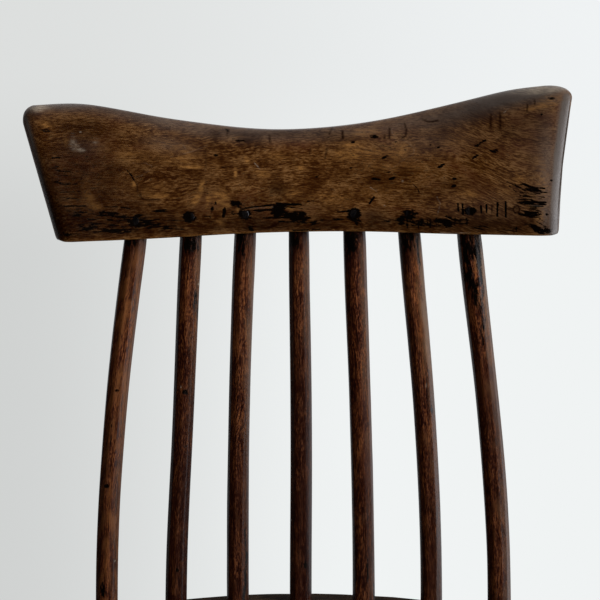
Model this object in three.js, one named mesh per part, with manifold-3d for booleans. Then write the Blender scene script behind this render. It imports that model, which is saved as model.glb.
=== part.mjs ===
// Comb-back stick chair: a D-shaped plank seat on four raked legs with an H of stretchers,
// a horizontal arm bow carried on sticks, and seven long sticks that run through the bow to a
// shaped comb. Every joint is a round tenon in a bored socket, held by pegs or wedges.
// Millimetres, +Z up. The sitter looks along -Y, and +X is at the right of a person facing the chair.

import * as THREE from 'three';
import { mergeVertices } from 'three/addons/utils/BufferGeometryUtils.js';
import Module from 'manifold-3d';

const wasm = await Module();
wasm.setup();

const { degToRad, lerp, clamp, smoothstep } = THREE.MathUtils;

// Clearance, cutting overrun, and how near two corners are when they are one
const fit = 0.3;
const overrun = 30;
const weld = 0.001;

// Seat plank, measured from its widest line
const seatHalfWidth = 270;
const seatRearDepth = 232;
const seatFrontDepth = 150;
const seatThickness = 46;
const seatHeight = 425;
const seatTilt = degToRad(2.5);
const seatDishDepth = 9;
const seatDishHalfWidth = 200;
const seatDishHalfDepth = 132;
const seatDishCentre = 28;
const seatTopRound = 6;
const seatChamferWidth = 26;
const seatChamferHeight = 18;
const seatRearPower = 2.1;
const seatFrontPower = 5;
const seatSides = 36;

// Line of stick sockets in the seat
const seatStickInset = 32;
const seatSocketDepth = 30;

// Legs
const legFrontSocketX = 168;
const legFrontSocketY = -80;
const legRearSocketX = 130;
const legRearSocketY = 95;
const legFrontFootX = 212;
const legFrontFootY = -128;
const legRearFootX = 184;
const legRearFootY = 238;
const legTopRadius = 12.5;
const legSeatRadius = 15.5;
const legSwellRadius = 18.5;
const legFootRadius = 13.5;
const legSwellBelowSeat = 95;
const legProud = 1;
const legSides = 12;
const legWedgeDepth = 30;
const legWedgeTop = 4.4;
const legWedgeTip = 1.6;

// Stretchers
const stretcherFrontHeight = 168;
const stretcherRearHeight = 152;
const stretcherMidRadius = 12.5;
const stretcherEndRadius = 8;
const stretcherTenonDepth = 9;
const stretcherSides = 12;

// Arm bow: two arms butted behind the sitter, under a raised crest
const crestTopHeight = 687;
const crestThickness = 27;
const armThickness = 28;
const bowHalfWidth = 250;
const bowDepth = 200;
const bowArc = degToRad(85);
const armStraight = 158;
const armBackWidth = 56;
const armSideWidth = 50;
const armHandWidth = 68;
const armEndRound = 25;
const armEdgeRound = 5;
const armSteps = 10;
const crestWidth = 54;
const crestEndWidth = 40;
const crestEndThickness = 12;
const crestTaper = 64;
const crestEdgeRound = 6;
const crestSteps = 16;

// Lean of the sticks, and the comb
const lowerLean = degToRad(11.6);
const upperLean = degToRad(14.8);
const combBottomHeight = 983;
const combHalfWidth = 220;
const combTipHeight = 120;
const combRadius = 455;
const combLean = degToRad(14.5);
const combBottomThickness = 28;
const combTopThickness = 20;
const combFaceRound = 6;
const combTipRound = 12;
const combFootRound = 4;
const combSteps = 13;

// Sticks
const stickRadius = 9;
const stickSides = 10;
const longStickRings = 15;
const seatStickHalfSpan = 136;
const armStickHalfSpan = 157;
const combStickHalfSpan = 138.6;
const stickBulge = 6.5;
const stickBackBulge = 3;
const combSocketDepth = 46;
const shortStickRadius = 8.6;
const shortStickRings = 6;
const shortStickProud = 0.8;
const stickWedgeDepth = 17;
const stickWedgeTop = 3;
const stickWedgeTip = 1.4;

// Pegs
const combPegRadius = 3.7;
const combPegHeight = 15;
const combPegProud = 0.4;
const crestPegRadius = 4.5;
const crestPegProud = 0.6;
const pegSides = 8;

// Where each long stick stands in the seat, the bow and the comb, and how far it bends sideways
const seatStickShares = [-0.985, -0.66, -0.33, 0, 0.335, 0.67, 1];
const armStickShares = [-0.975, -0.6385, -0.323, 0.002, 0.33, 0.672, 1];
const combStickShares = [-0.977, -0.655, -0.332, -0.01, 0.3235, 0.652, 1];
const bulgeShares = [-0.95, -0.08, -0.36, 0.2, 0.2, 0.66, 0.72];
const combPegHeightShares = [0.77, 0.91, 1, 0.8, 1.03, 1.07, 1.3];

// Radius of each long stick at the bow, halfway up and under the comb
const longRadiusShares = [
  [0.98, 0.99, 1.05],
  [0.97, 0.96, 1.03],
  [1.01, 0.97, 1.02],
  [1.02, 1, 0.97],
  [1.02, 1, 1.08],
  [0.97, 0.98, 1.05],
  [1.03, 0.98, 1.12],
];
const longTenonShares = { seatEnd: 0.84, seatMouth: 0.93, combEnd: 0.76 };
const longRadiusAtShares = { seatMouth: 0.06, belowBow: 0.25, bow: 0.46, middle: 0.7, combMouth: 0.92 };

// Short sticks: places along the free arm and the seat's edge, and [along, radius] of each
const shortArmShares = [0.27, 0.48, 0.69, 0.88];
const shortSeatShares = [0.24, 0.49, 0.73, 0.97];
const shortSeatFrontShare = 0.56;
const shortRadiusShares = [[0, 0.84], [0.1, 0.93], [0.45, 1.04], [0.85, 0.95], [1, 0.86]];

// Comb outline: [height, x] up each end, and [x, height] along the top and the foot
const combLeftEndShares = [[0, -0.89], [0.5, -0.972], [1, -1.046]];
const combRightEndShares = [[0, 0.934], [0.5, 0.946], [0.8, 0.974], [1, 1.006]];
const combTopShares = [
  [-1.04, 0.872],
  [-0.84, 0.895],
  [-0.6, 0.803],
  [-0.4, 0.747],
  [-0.15, 0.697],
  [0.05, 0.704],
  [0.3, 0.755],
  [0.6, 0.88],
  [0.84, 0.998],
  [1.02, 1.02],
];
const combFootShares = [
  [-1, -0.026],
  [-0.6, -0.028],
  [-0.2, -0.003],
  [0.2, 0.01],
  [0.6, 0.005],
  [1, 0.022],
];

// Tapers and the steps of rounded ends
const legTaperShares = { kneeAt: 0.35, kneeRadius: 0.55, neckAt: 0.4, neckRadius: 0.65 };
const stretcherTaperShares = [[0, 0], [0.12, 0.35], [0.35, 0.9], [0.5, 1], [0.65, 0.9], [0.88, 0.35], [1, 0]];
const seatRoundShare = 0.3;
const seatTopShares = [1, 0.84, 0.6, 0.32];
const armSwellStartShare = 0.35;
const armHandShares = [0.35, 0.62, 0.83];
const roundEndShares = [0, 0.12, 0.42, 1];
const crestReachShare = 0.7;
const seatDishPower = 1.2;

// Materials
function wood(colour, roughness) {
  return new THREE.MeshStandardMaterial({ color: colour, roughness, metalness: 0 });
}
const combWood = wood(0x4a2e17, 0.45);
const stickWood = wood(0x3b2116, 0.42);
const bowWood = wood(0x2f2721, 0.55);
const seatWood = wood(0x4d3019, 0.5);
const legWood = wood(0x36211a, 0.5);
const pegWood = wood(0x1a120d, 0.6);

// Joins closed rings of points into one solid, with a fan over each end.
function loft(rings) {
  const count = rings[0].length;
  const points = rings.flat();
  const lastRing = rings.length - 1;
  const middle = (ring) => ring.reduce((sum, p) => sum.add(p), new THREE.Vector3()).divideScalar(count);
  const startCentre = points.push(middle(rings[0])) - 1;
  const endCentre = points.push(middle(rings[lastRing])) - 1;
  const index = [];
  for (let i = 0; i < count; i++) {
    const j = (i + 1) % count;
    index.push(startCentre, j, i, endCentre, lastRing * count + i, lastRing * count + j);
    for (let r = 0; r < lastRing; r++) {
      const low = r * count;
      const high = low + count;
      index.push(low + i, low + j, high + j, low + i, high + j, high + i);
    }
  }
  const geometry = new THREE.BufferGeometry().setFromPoints(points).setIndex(index);
  return signedVolume(geometry) < 0 ? turnedOut(geometry) : geometry;
}

function signedVolume(geometry) {
  const position = geometry.attributes.position;
  const index = geometry.index.array;
  const [a, b, c] = [new THREE.Vector3(), new THREE.Vector3(), new THREE.Vector3()];
  let six = 0;
  for (let i = 0; i < index.length; i += 3) {
    a.fromBufferAttribute(position, index[i]);
    b.fromBufferAttribute(position, index[i + 1]);
    c.fromBufferAttribute(position, index[i + 2]);
    six += a.dot(b.cross(c));
  }
  return six / 6;
}

function turnedOut(geometry) {
  const index = geometry.index.array;
  for (let i = 0; i < index.length; i += 3) {
    [index[i + 1], index[i + 2]] = [index[i + 2], index[i + 1]];
  }
  return geometry;
}

// Geometry to closed solid and back
function solidOf(geometry) {
  const bare = geometry.clone();
  bare.deleteAttribute('normal');
  bare.deleteAttribute('uv');
  const merged = mergeVertices(bare, weld);
  const mesh = new wasm.Mesh({
    numProp: 3,
    vertProperties: merged.attributes.position.array,
    triVerts: new Uint32Array(merged.index.array),
  });
  return new wasm.Manifold(mesh);
}

function geometryOf(solid) {
  const mesh = solid.getMesh();
  const geometry = new THREE.BufferGeometry();
  geometry.setAttribute('position', new THREE.BufferAttribute(mesh.vertProperties, 3));
  geometry.setIndex(new THREE.BufferAttribute(mesh.triVerts, 1));
  return geometry;
}

// Cuts solids given in the chair's frame out of a placed mesh.
function cut(mesh, cutters) {
  mesh.updateMatrixWorld(true);
  const toLocal = mesh.matrixWorld.clone().invert();
  let solid = solidOf(mesh.geometry);
  for (const cutter of cutters) solid = solid.subtract(solidOf(cutter.clone().applyMatrix4(toLocal)));
  mesh.geometry = geometryOf(solid);
}

// What two overlapping geometries have in common
function common(geometry, other) {
  return geometryOf(solidOf(geometry).intersect(solidOf(other)));
}

function piece(name, geometry, material) {
  const mesh = new THREE.Mesh(geometry, material);
  mesh.name = name;
  return mesh;
}

// Stands a piece that was made along +Z on a point, aimed at another.
const upward = new THREE.Vector3(0, 0, 1);
function aim(mesh, from, to) {
  mesh.position.copy(from);
  mesh.quaternion.setFromUnitVectors(upward, to.clone().sub(from).normalize());
  mesh.updateMatrixWorld(true);
  return mesh;
}

// A shaved round along +Z from a profile of [distance, radius] pairs
function turned(profile, sides, extra = 0) {
  const last = profile.length - 1;
  const outline = profile.map(([along, radius], i) => {
    const shift = i === 0 ? -extra : i === last ? extra : 0;
    return new THREE.Vector2(radius + extra, along + shift);
  });
  const start = new THREE.Vector2(0, outline[0].y);
  const end = new THREE.Vector2(0, outline[last].y);
  return new THREE.LatheGeometry([start, ...outline, end], sides).rotateX(Math.PI / 2);
}

// Value at x on a smooth line through hand-set [x, value] pairs
function eased(pairs, x) {
  const last = pairs.length - 1;
  let i = 0;
  while (i < last - 1 && x > pairs[i + 1][0]) i++;
  const slope = (k) => {
    const before = pairs[Math.max(k - 1, 0)];
    const after = pairs[Math.min(k + 1, last)];
    return (after[1] - before[1]) / (after[0] - before[0]);
  };
  const [x0, y0] = pairs[i];
  const [x1, y1] = pairs[i + 1];
  const step = x1 - x0;
  const rise = y1 - y0;
  const t = clamp((x - x0) / step, 0, 1);
  const startRise = slope(i) * step;
  const endRise = slope(i + 1) * step;
  const square = 3 * rise - 2 * startRise - endRise;
  const cube = startRise + endRise - 2 * rise;
  return y0 + t * (startRise + t * (square + t * cube));
}

// A rectangle with rounded corners as [across, up] pairs, whose half width can change with height
function roundedSection(halfWidthAt, low, high, lowRound, highRound, steps = 2) {
  const corners = [
    { side: 1, level: low, inward: 1, round: lowRound, from: -90 },
    { side: 1, level: high, inward: -1, round: highRound, from: 0 },
    { side: -1, level: high, inward: -1, round: highRound, from: 90 },
    { side: -1, level: low, inward: 1, round: lowRound, from: 180 },
  ];
  return corners.flatMap(({ side, level, inward, round, from }) => {
    const across = side * (halfWidthAt(level) - round);
    const up = level + inward * round;
    return Array.from({ length: steps + 1 }, (_, k) => {
      const angle = degToRad(from + (90 * k) / steps);
      return [across + round * Math.cos(angle), up + round * Math.sin(angle)];
    });
  });
}

// How far a rounded end has drawn in, at a distance from its tip
function drawnIn(distance, radius) {
  if (distance >= radius) return 0;
  return radius - Math.sqrt(radius ** 2 - (radius - distance) ** 2);
}

// Seat: its outline is a rounded D, an ellipse behind the widest line and squarer before it.
function seatOutline(angle, inset) {
  const across = Math.sin(angle);
  const along = Math.cos(angle);
  const power = along > 0 ? seatRearPower : seatFrontPower;
  const depth = (along > 0 ? seatRearDepth : seatFrontDepth) - inset;
  return {
    x: (seatHalfWidth - inset) * Math.sign(across) * Math.abs(across) ** (2 / power),
    y: depth * Math.sign(along) * Math.abs(along) ** (2 / power),
  };
}

// The line of sockets, as y at x behind the widest line, and as x at y along a side
function socketLineY(x) {
  const share = Math.abs(x) / (seatHalfWidth - seatStickInset);
  return (seatRearDepth - seatStickInset) * (1 - share ** seatRearPower) ** (1 / seatRearPower);
}

function socketLineX(y) {
  const power = y > 0 ? seatRearPower : seatFrontPower;
  const depth = (y > 0 ? seatRearDepth : seatFrontDepth) - seatStickInset;
  return (seatHalfWidth - seatStickInset) * (1 - (Math.abs(y) / depth) ** power) ** (1 / power);
}

function seatDish(x, y) {
  const reach = (x / seatDishHalfWidth) ** 2 + ((y - seatDishCentre) / seatDishHalfDepth) ** 2;
  return reach < 1 ? -seatDishDepth * (1 - reach) ** seatDishPower : 0;
}

function seatGeometry() {
  const ring = (inset, height) =>
    Array.from({ length: seatSides }, (_, i) => {
      const { x, y } = seatOutline((2 * Math.PI * i) / seatSides, inset);
      return new THREE.Vector3(x, y, height);
    });
  const topRing = (share) =>
    ring(seatTopRound, 0).map((edge) => {
      const x = edge.x * share;
      const y = lerp(seatDishCentre, edge.y, share);
      return new THREE.Vector3(x, y, seatDish(x, y));
    });
  const roundStep = seatTopRound * seatRoundShare;
  return loft([
    ring(seatChamferWidth, -seatThickness),
    ring(0, seatChamferHeight - seatThickness),
    ring(0, -seatTopRound),
    ring(roundStep, -roundStep),
    ...seatTopShares.map(topRing),
  ]);
}

const seat = piece('seat', seatGeometry(), seatWood);
seat.position.z = seatHeight;
seat.rotation.x = -seatTilt;
seat.updateMatrixWorld(true);

// A point at a height over the seat's flat top, in the chair's frame
function onSeat(x, y, above = 0) {
  return seat.localToWorld(new THREE.Vector3(x, y, above));
}

// A wedge that points down from its top at the origin, thin along X and wide along Y
function wedgePrism(top, tip, depth, halfSpan, extra = 0) {
  const shape = new THREE.Shape([
    new THREE.Vector2(-top / 2 - extra, 0),
    new THREE.Vector2(-tip / 2 - extra, -depth - extra),
    new THREE.Vector2(tip / 2 + extra, -depth - extra),
    new THREE.Vector2(top / 2 + extra, 0),
  ]);
  const prism = new THREE.ExtrudeGeometry(shape, { depth: 2 * halfSpan, bevelEnabled: false });
  return prism.translate(0, 0, -halfSpan).rotateX(Math.PI / 2);
}

// The kerf for such a wedge, with clearance, carried on upward so that it is open at the top
function kerfPrism(top, tip, depth, halfSpan) {
  const openTop = top + ((top - tip) / depth) * overrun;
  const prism = wedgePrism(openTop, tip, depth + overrun, halfSpan + overrun, fit);
  return prism.translate(0, 0, overrun);
}

// Legs: tapered tenons through the seat, each split by a wedge and cut flat at the floor.
const legPlaces = [
  ['front_left', -1, legFrontSocketX, legFrontSocketY, legFrontFootX, legFrontFootY],
  ['front_right', 1, legFrontSocketX, legFrontSocketY, legFrontFootX, legFrontFootY],
  ['rear_left', -1, legRearSocketX, legRearSocketY, legRearFootX, legRearFootY],
  ['rear_right', 1, legRearSocketX, legRearSocketY, legRearFootX, legRearFootY],
];

function legProfile(length) {
  const seatLevel = length - seatThickness - legProud;
  const swellLevel = seatLevel - legSwellBelowSeat;
  const { kneeAt, kneeRadius, neckAt, neckRadius } = legTaperShares;
  return [
    [-overrun, legFootRadius],
    [0, legFootRadius],
    [seatLevel * kneeAt, lerp(legFootRadius, legSwellRadius, kneeRadius)],
    [swellLevel, legSwellRadius],
    [lerp(seatLevel, swellLevel, neckAt), lerp(legSeatRadius, legSwellRadius, neckRadius)],
    [seatLevel, legSeatRadius],
    [length, legTopRadius],
  ];
}

const underFloor = new THREE.BoxGeometry(4 * legFrontFootX, 4 * legRearFootY, 2 * overrun);
underFloor.translate(0, 0, -overrun);

function makeLeg([place, side, socketX, socketY, footX, footY]) {
  const foot = new THREE.Vector3(side * footX, footY, 0);
  const top = onSeat(side * socketX, socketY, seatDish(socketX, socketY) + legProud);
  const length = top.distanceTo(foot);
  const profile = legProfile(length);
  const leg = aim(piece(`leg_${place}`, turned(profile, legSides), legWood), foot, top);
  const cutter = turned([...profile, [length + overrun, legTopRadius]], legSides, fit);
  cutter.applyMatrix4(leg.matrixWorld);

  const wedgeBody = wedgePrism(legWedgeTop, legWedgeTip, legWedgeDepth, legSeatRadius);
  const wedgeGeometry = common(wedgeBody.translate(0, 0, length), turned(profile, legSides));
  const wedge = aim(piece(`leg_wedge_${place}`, wedgeGeometry, pegWood), foot, top);
  const kerf = kerfPrism(legWedgeTop, legWedgeTip, legWedgeDepth, legSeatRadius);
  cut(leg, [kerf.translate(0, 0, length).applyMatrix4(leg.matrixWorld), underFloor]);
  return { mesh: leg, wedge, cutter, profile };
}

const legs = legPlaces.map(makeLeg);

// Stretchers: one down each side, and one across between their middles.
function pointOnLeg({ mesh }, height) {
  const direction = upward.clone().applyQuaternion(mesh.quaternion);
  return mesh.position.clone().addScaledVector(direction, height / direction.z);
}

// A stretcher runs between two axes, and its ends stop short of them by the given distance.
function makeStretcher(name, from, to, standOff) {
  const direction = to.clone().sub(from).normalize();
  const start = from.clone().addScaledVector(direction, standOff);
  const end = to.clone().addScaledVector(direction, -standOff);
  const length = start.distanceTo(end);
  const profile = stretcherTaperShares.map(([along, swell]) =>
    [length * along, lerp(stretcherEndRadius, stretcherMidRadius, swell)]);
  const mesh = aim(piece(name, turned(profile, stretcherSides), legWood), start, end);
  const cutter = turned(profile, stretcherSides, fit).applyMatrix4(mesh.matrixWorld);
  return { mesh, cutter, middle: start.clone().lerp(end, 0.5) };
}

function makeSideStretcher(name, frontLeg, rearLeg) {
  const standOff = eased(frontLeg.profile, stretcherFrontHeight) - stretcherTenonDepth;
  const front = pointOnLeg(frontLeg, stretcherFrontHeight);
  const rear = pointOnLeg(rearLeg, stretcherRearHeight);
  const made = makeStretcher(name, front, rear, standOff);
  cut(frontLeg.mesh, [made.cutter]);
  cut(rearLeg.mesh, [made.cutter]);
  return made;
}

const [frontLeft, frontRight, rearLeft, rearRight] = legs;
const sideLeft = makeSideStretcher('stretcher_left', frontLeft, rearLeft);
const sideRight = makeSideStretcher('stretcher_right', frontRight, rearRight);
const crossStandOff = stretcherMidRadius - stretcherTenonDepth;
const cross = makeStretcher('stretcher_cross', sideLeft.middle, sideRight.middle, crossStandOff);
for (const side of [sideLeft, sideRight]) cut(side.mesh, [cross.cutter]);

// Arm bow: its centre line is half an ellipse behind the sitter, then runs straight forward.
const seatStickBack = onSeat(0, socketLineY(0));
const bowBackY = seatStickBack.y + Math.tan(lowerLean) * (crestTopHeight - seatStickBack.z);
const bowCentreY = bowBackY - bowDepth;
const bowMeanRadius = (bowHalfWidth + bowDepth) / 2;
const armTopHeight = crestTopHeight - crestThickness - fit;
const crestFootHeight = armTopHeight + fit;

function bowPoint(angle, forward = 0) {
  const side = angle < 0 ? -1 : 1;
  const turn = Math.min(Math.abs(angle), bowArc);
  const heading = new THREE.Vector2(
    side * bowHalfWidth * Math.cos(turn), -bowDepth * Math.sin(turn),
  ).normalize();
  return {
    x: side * bowHalfWidth * Math.sin(turn) + heading.x * forward,
    y: bowCentreY + bowDepth * Math.cos(turn) + heading.y * forward,
    heading: new THREE.Vector3(heading.x, heading.y, 0),
    outward: new THREE.Vector3(-side * heading.y, side * heading.x, 0),
  };
}

function bowAngleAtX(x) {
  return Math.asin(x / bowHalfWidth);
}

// Places of the long sticks, and of the short ones along what is left of each arm
const longAngles = armStickShares.map((share) => bowAngleAtX(armStickHalfSpan * share));
const outerAngle = bowAngleAtX(armStickHalfSpan);
const armArcLength = (bowArc - outerAngle) * bowMeanRadius;

function armPlace(side, share) {
  const along = (armArcLength + armStraight) * share;
  const angle = outerAngle + Math.min(along, armArcLength) / bowMeanRadius;
  return { angle: side * angle, ...bowPoint(side * angle, Math.max(along - armArcLength, 0)) };
}

// One ring of a bow piece: its section stands square to the centre line.
function bowRing({ x, y, outward }, section) {
  return section.map(([across, up]) =>
    new THREE.Vector3(x, y, up).addScaledVector(outward, across));
}

// The arms meet halfway between two sticks, a little to the right of the middle.
const armJoint = (longAngles[3] + longAngles[4]) / 2;

function armGeometry(side) {
  const rings = [];
  const addRing = (place, width, fromTip) => {
    const drawn = drawnIn(fromTip, armEndRound);
    const ease = Math.min(drawn / 3, armEdgeRound);
    const low = armTopHeight - armThickness + ease;
    const high = armTopHeight - ease;
    rings.push(bowRing(place, roundedSection(
      () => width / 2 - drawn, low, high, armEdgeRound, armEdgeRound,
    )));
  };
  const joint = armJoint + (side * fit) / (2 * bowHalfWidth);
  for (let i = 0; i <= armSteps; i++) {
    const angle = lerp(joint, side * bowArc, i / armSteps);
    const narrowing = smoothstep(Math.abs(angle) / bowArc, armSwellStartShare, 1);
    addRing(bowPoint(angle), lerp(armBackWidth, armSideWidth, narrowing), armStraight);
  }
  for (const share of armHandShares) {
    const width = lerp(armSideWidth, armHandWidth, smoothstep(share, 0, 1));
    addRing(bowPoint(side * bowArc, armStraight * share), width, armStraight * (1 - share));
  }
  for (const share of [...roundEndShares].reverse()) {
    const fromTip = armEndRound * share;
    addRing(bowPoint(side * bowArc, armStraight - fromTip), armHandWidth, fromTip);
  }
  return loft(rings);
}

const armLeft = piece('arm_left', armGeometry(-1), bowWood);
const armRight = piece('arm_right', armGeometry(1), bowWood);

// Crest: it ends between the last long stick and the first short one, and thins out there.
const firstShortAngle = armPlace(1, shortArmShares[0]).angle;
const crestStart = lerp(longAngles[0], -firstShortAngle, crestReachShare);
const crestEnd = lerp(longAngles[6], firstShortAngle, crestReachShare);

// How full the crest is at an angle, from 0 at its ends to 1 past the taper
function crestFullness(angle) {
  const fromEnd = Math.min(angle - crestStart, crestEnd - angle) * bowMeanRadius;
  return smoothstep(fromEnd, 0, crestTaper);
}

function crestTopAt(angle) {
  return crestFootHeight + lerp(crestEndThickness, crestThickness, crestFullness(angle));
}

function crestGeometry() {
  const rings = [];
  for (let i = 0; i <= crestSteps; i++) {
    const angle = lerp(crestStart, crestEnd, i / crestSteps);
    const full = crestFullness(angle);
    const halfWidth = lerp(crestEndWidth, crestWidth, full) / 2;
    const round = lerp(crestEndThickness / 3, crestEdgeRound, full);
    rings.push(bowRing(bowPoint(angle), roundedSection(
      () => halfWidth, crestFootHeight, crestTopAt(angle), crestEdgeRound / 3, round,
    )));
  }
  return loft(rings);
}

const crest = piece('bow_crest', crestGeometry(), bowWood);

// Comb: an arc in plan, leaning back, with a hollow top edge and horned tips of unlike height.
const combBackY = bowBackY + Math.tan(upperLean) * (combBottomHeight - crestTopHeight);

function combHalfThickness(height) {
  return lerp(combBottomThickness, combTopThickness, clamp(height / combTipHeight, 0, 1)) / 2;
}

function combArcCentreY(height) {
  return combBackY + height * Math.tan(combLean) - combRadius;
}

// A point of the comb by its place along X, its height over the foot, and across its thickness
function combPoint(x, height, across) {
  const depth = Math.sqrt(combRadius ** 2 - x ** 2);
  const outward = new THREE.Vector3(x, depth, 0).divideScalar(combRadius);
  const middle = new THREE.Vector3(x, combArcCentreY(height) + depth, combBottomHeight + height);
  return middle.addScaledVector(outward, across);
}

// Where a straight line from front to back at x meets the comb's front (-1) or back (1)
function combFaceY(x, height, face) {
  const faceRadius = combRadius + face * combHalfThickness(height);
  return combArcCentreY(height) + Math.sqrt(faceRadius ** 2 - x ** 2);
}

function combTop(x) {
  return combTipHeight * eased(combTopShares, x / combHalfWidth);
}

function combFoot(x) {
  return combTipHeight * eased(combFootShares, x / combHalfWidth);
}

function combEndX(shares, height) {
  return combHalfWidth * eased(shares, height / combTipHeight);
}

// Stations along the comb: close together over each rounded end, and even between
function combStations() {
  const tip = roundEndShares.map((share) => share * combTipRound);
  const middle = Array.from({ length: combSteps - 1 }, (_, i) => {
    const along = (i + 1) / combSteps;
    return { along, shift: lerp(combTipRound, -combTipRound, along), fromTip: combTipRound };
  });
  return [
    ...tip.map((fromTip) => ({ along: 0, shift: fromTip, fromTip })),
    ...middle,
    ...tip.reverse().map((fromTip) => ({ along: 1, shift: -fromTip, fromTip })),
  ];
}

function combGeometry() {
  return loft(combStations().map(({ along, shift, fromTip }) => {
    const stationX = (height) => shift + lerp(
      combEndX(combLeftEndShares, height), combEndX(combRightEndShares, height), along,
    );
    const low = combFoot(stationX(0)) + drawnIn(fromTip, combFootRound);
    const high = combTop(stationX(combTipHeight)) - drawnIn(fromTip, combTipRound);
    const faceDrawn = drawnIn(fromTip, combFaceRound);
    const halfAt = (height) => combHalfThickness(height) - faceDrawn;
    const section = roundedSection(halfAt, low, high, combFootRound, combFaceRound);
    return section.map(([across, height]) => combPoint(stationX(height), height, across));
  }));
}

const comb = piece('comb', combGeometry(), combWood);

// Sticks: bent rounds along a smooth line, with their sides kept in line from ring to ring.
function stickGeometry(curve, rings, radiusAt, extra = 0, beyond = extra) {
  return loft(Array.from({ length: rings + 1 }, (_, i) => {
    const share = i / rings;
    const centre = curve.getPointAt(share);
    const along = curve.getTangentAt(share);
    if (i === 0) centre.addScaledVector(along, -extra);
    if (i === rings) centre.addScaledVector(along, beyond);
    const right = new THREE.Vector3(1, 0, 0).addScaledVector(along, -along.x).normalize();
    const back = along.clone().cross(right);
    const radius = radiusAt(share) + extra;
    return Array.from({ length: stickSides }, (_, k) => {
      const angle = (2 * Math.PI * (k + 0.5)) / stickSides;
      return centre.clone()
        .addScaledVector(right, radius * Math.cos(angle))
        .addScaledVector(back, radius * Math.sin(angle));
    });
  }));
}

// A mesh whose origin is at a point, from geometry made in the chair's frame
function pieceAt(name, geometry, material, origin) {
  const mesh = piece(name, geometry.translate(-origin.x, -origin.y, -origin.z), material);
  mesh.position.copy(origin);
  mesh.updateMatrixWorld(true);
  return mesh;
}

// A point at a depth down a stick's socket in the seat
function socketFoot(seatTop, next) {
  return seatTop.clone().sub(next.clone().sub(seatTop).setLength(seatSocketDepth));
}

// A long stick goes from a blind socket in the seat, through the bow, to a blind socket in the comb.
function longStickCurve(i) {
  const seatX = seatStickHalfSpan * seatStickShares[i];
  const combX = combStickHalfSpan * combStickShares[i];
  const bow = bowPoint(longAngles[i]);
  const seatTop = onSeat(seatX, socketLineY(seatX));
  const bowTop = new THREE.Vector3(bow.x, bow.y, crestTopHeight);
  const combMouth = combPoint(combX, 0, 0);
  const middle = bowTop.clone().lerp(combMouth, 0.5);
  middle.x += stickBulge * bulgeShares[i];
  middle.y += stickBackBulge;
  const inwardSlope = (combX - middle.x) / (combMouth.z - middle.z);
  const combEnd = combPoint(combX + inwardSlope * combSocketDepth, combSocketDepth, 0);
  const points = [socketFoot(seatTop, bowTop), seatTop, bowTop, middle, combMouth, combEnd];
  return new THREE.CatmullRomCurve3(points);
}

function longRadius([bowShare, middleShare, combShare]) {
  const at = longRadiusAtShares;
  const pairs = [
    [0, longTenonShares.seatEnd],
    [at.seatMouth, longTenonShares.seatMouth],
    [at.belowBow, bowShare],
    [at.bow, bowShare],
    [at.middle, middleShare],
    [at.combMouth, combShare],
    [1, longTenonShares.combEnd],
  ];
  return (share) => stickRadius * eased(pairs, share);
}

function makeLongStick(radiusShares, i) {
  const curve = longStickCurve(i);
  const radiusAt = longRadius(radiusShares);
  const geometry = stickGeometry(curve, longStickRings, radiusAt);
  const mesh = pieceAt(`long_stick_${i + 1}`, geometry, stickWood, curve.getPointAt(0));
  return { mesh, cutter: stickGeometry(curve, longStickRings, radiusAt, fit) };
}

const longSticks = longRadiusShares.map(makeLongStick);

// Short sticks carry the arms: blind in the seat, through the arm, and wedged across its grain.
const shortRearY = socketLineY(seatStickHalfSpan);
const shortFrontY = -seatFrontDepth * shortSeatFrontShare;

function makeShortStick(side, i) {
  const place = armPlace(side, shortArmShares[i]);
  const seatY = lerp(shortRearY, shortFrontY, shortSeatShares[i]);
  const seatTop = onSeat(side * socketLineX(seatY), seatY);
  const top = new THREE.Vector3(place.x, place.y, armTopHeight + shortStickProud);
  const curve = new THREE.LineCurve3(socketFoot(seatTop, top), top);
  const radiusAt = (share) => shortStickRadius * eased(shortRadiusShares, share);
  const number = `${side < 0 ? 'left' : 'right'}_${i + 1}`;
  const body = stickGeometry(curve, shortStickRings, radiusAt);

  const up = curve.getTangentAt(1);
  const grain = place.heading.clone().addScaledVector(up, -place.heading.dot(up)).normalize();
  const wedgeFrame = new THREE.Matrix4().makeBasis(grain, up.clone().cross(grain), up).setPosition(top);
  const wedgeBody = wedgePrism(stickWedgeTop, stickWedgeTip, stickWedgeDepth, shortStickRadius);
  const wedgeGeometry = common(wedgeBody.applyMatrix4(wedgeFrame), body);
  const wedge = pieceAt(`stick_wedge_${number}`, wedgeGeometry, pegWood, top);

  const mesh = pieceAt(`short_stick_${number}`, body, stickWood, curve.getPointAt(0));
  const kerf = kerfPrism(stickWedgeTop, stickWedgeTip, stickWedgeDepth, shortStickRadius);
  cut(mesh, [kerf.applyMatrix4(wedgeFrame)]);
  return { mesh, wedge, cutter: stickGeometry(curve, shortStickRings, radiusAt, fit, overrun) };
}

const shortSticks = [-1, 1].flatMap((side) => shortArmShares.map((_, i) => makeShortStick(side, i)));

// A straight peg between two points, and the hole that it is driven into
function makePeg(name, from, to, radius) {
  const length = from.distanceTo(to);
  const peg = [[0, radius], [length, radius]];
  const hole = [[-overrun, radius], [length + overrun, radius]];
  const mesh = aim(piece(name, turned(peg, pegSides), pegWood), from, to);
  return { mesh, cutter: turned(hole, pegSides, fit).applyMatrix4(mesh.matrixWorld) };
}

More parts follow.
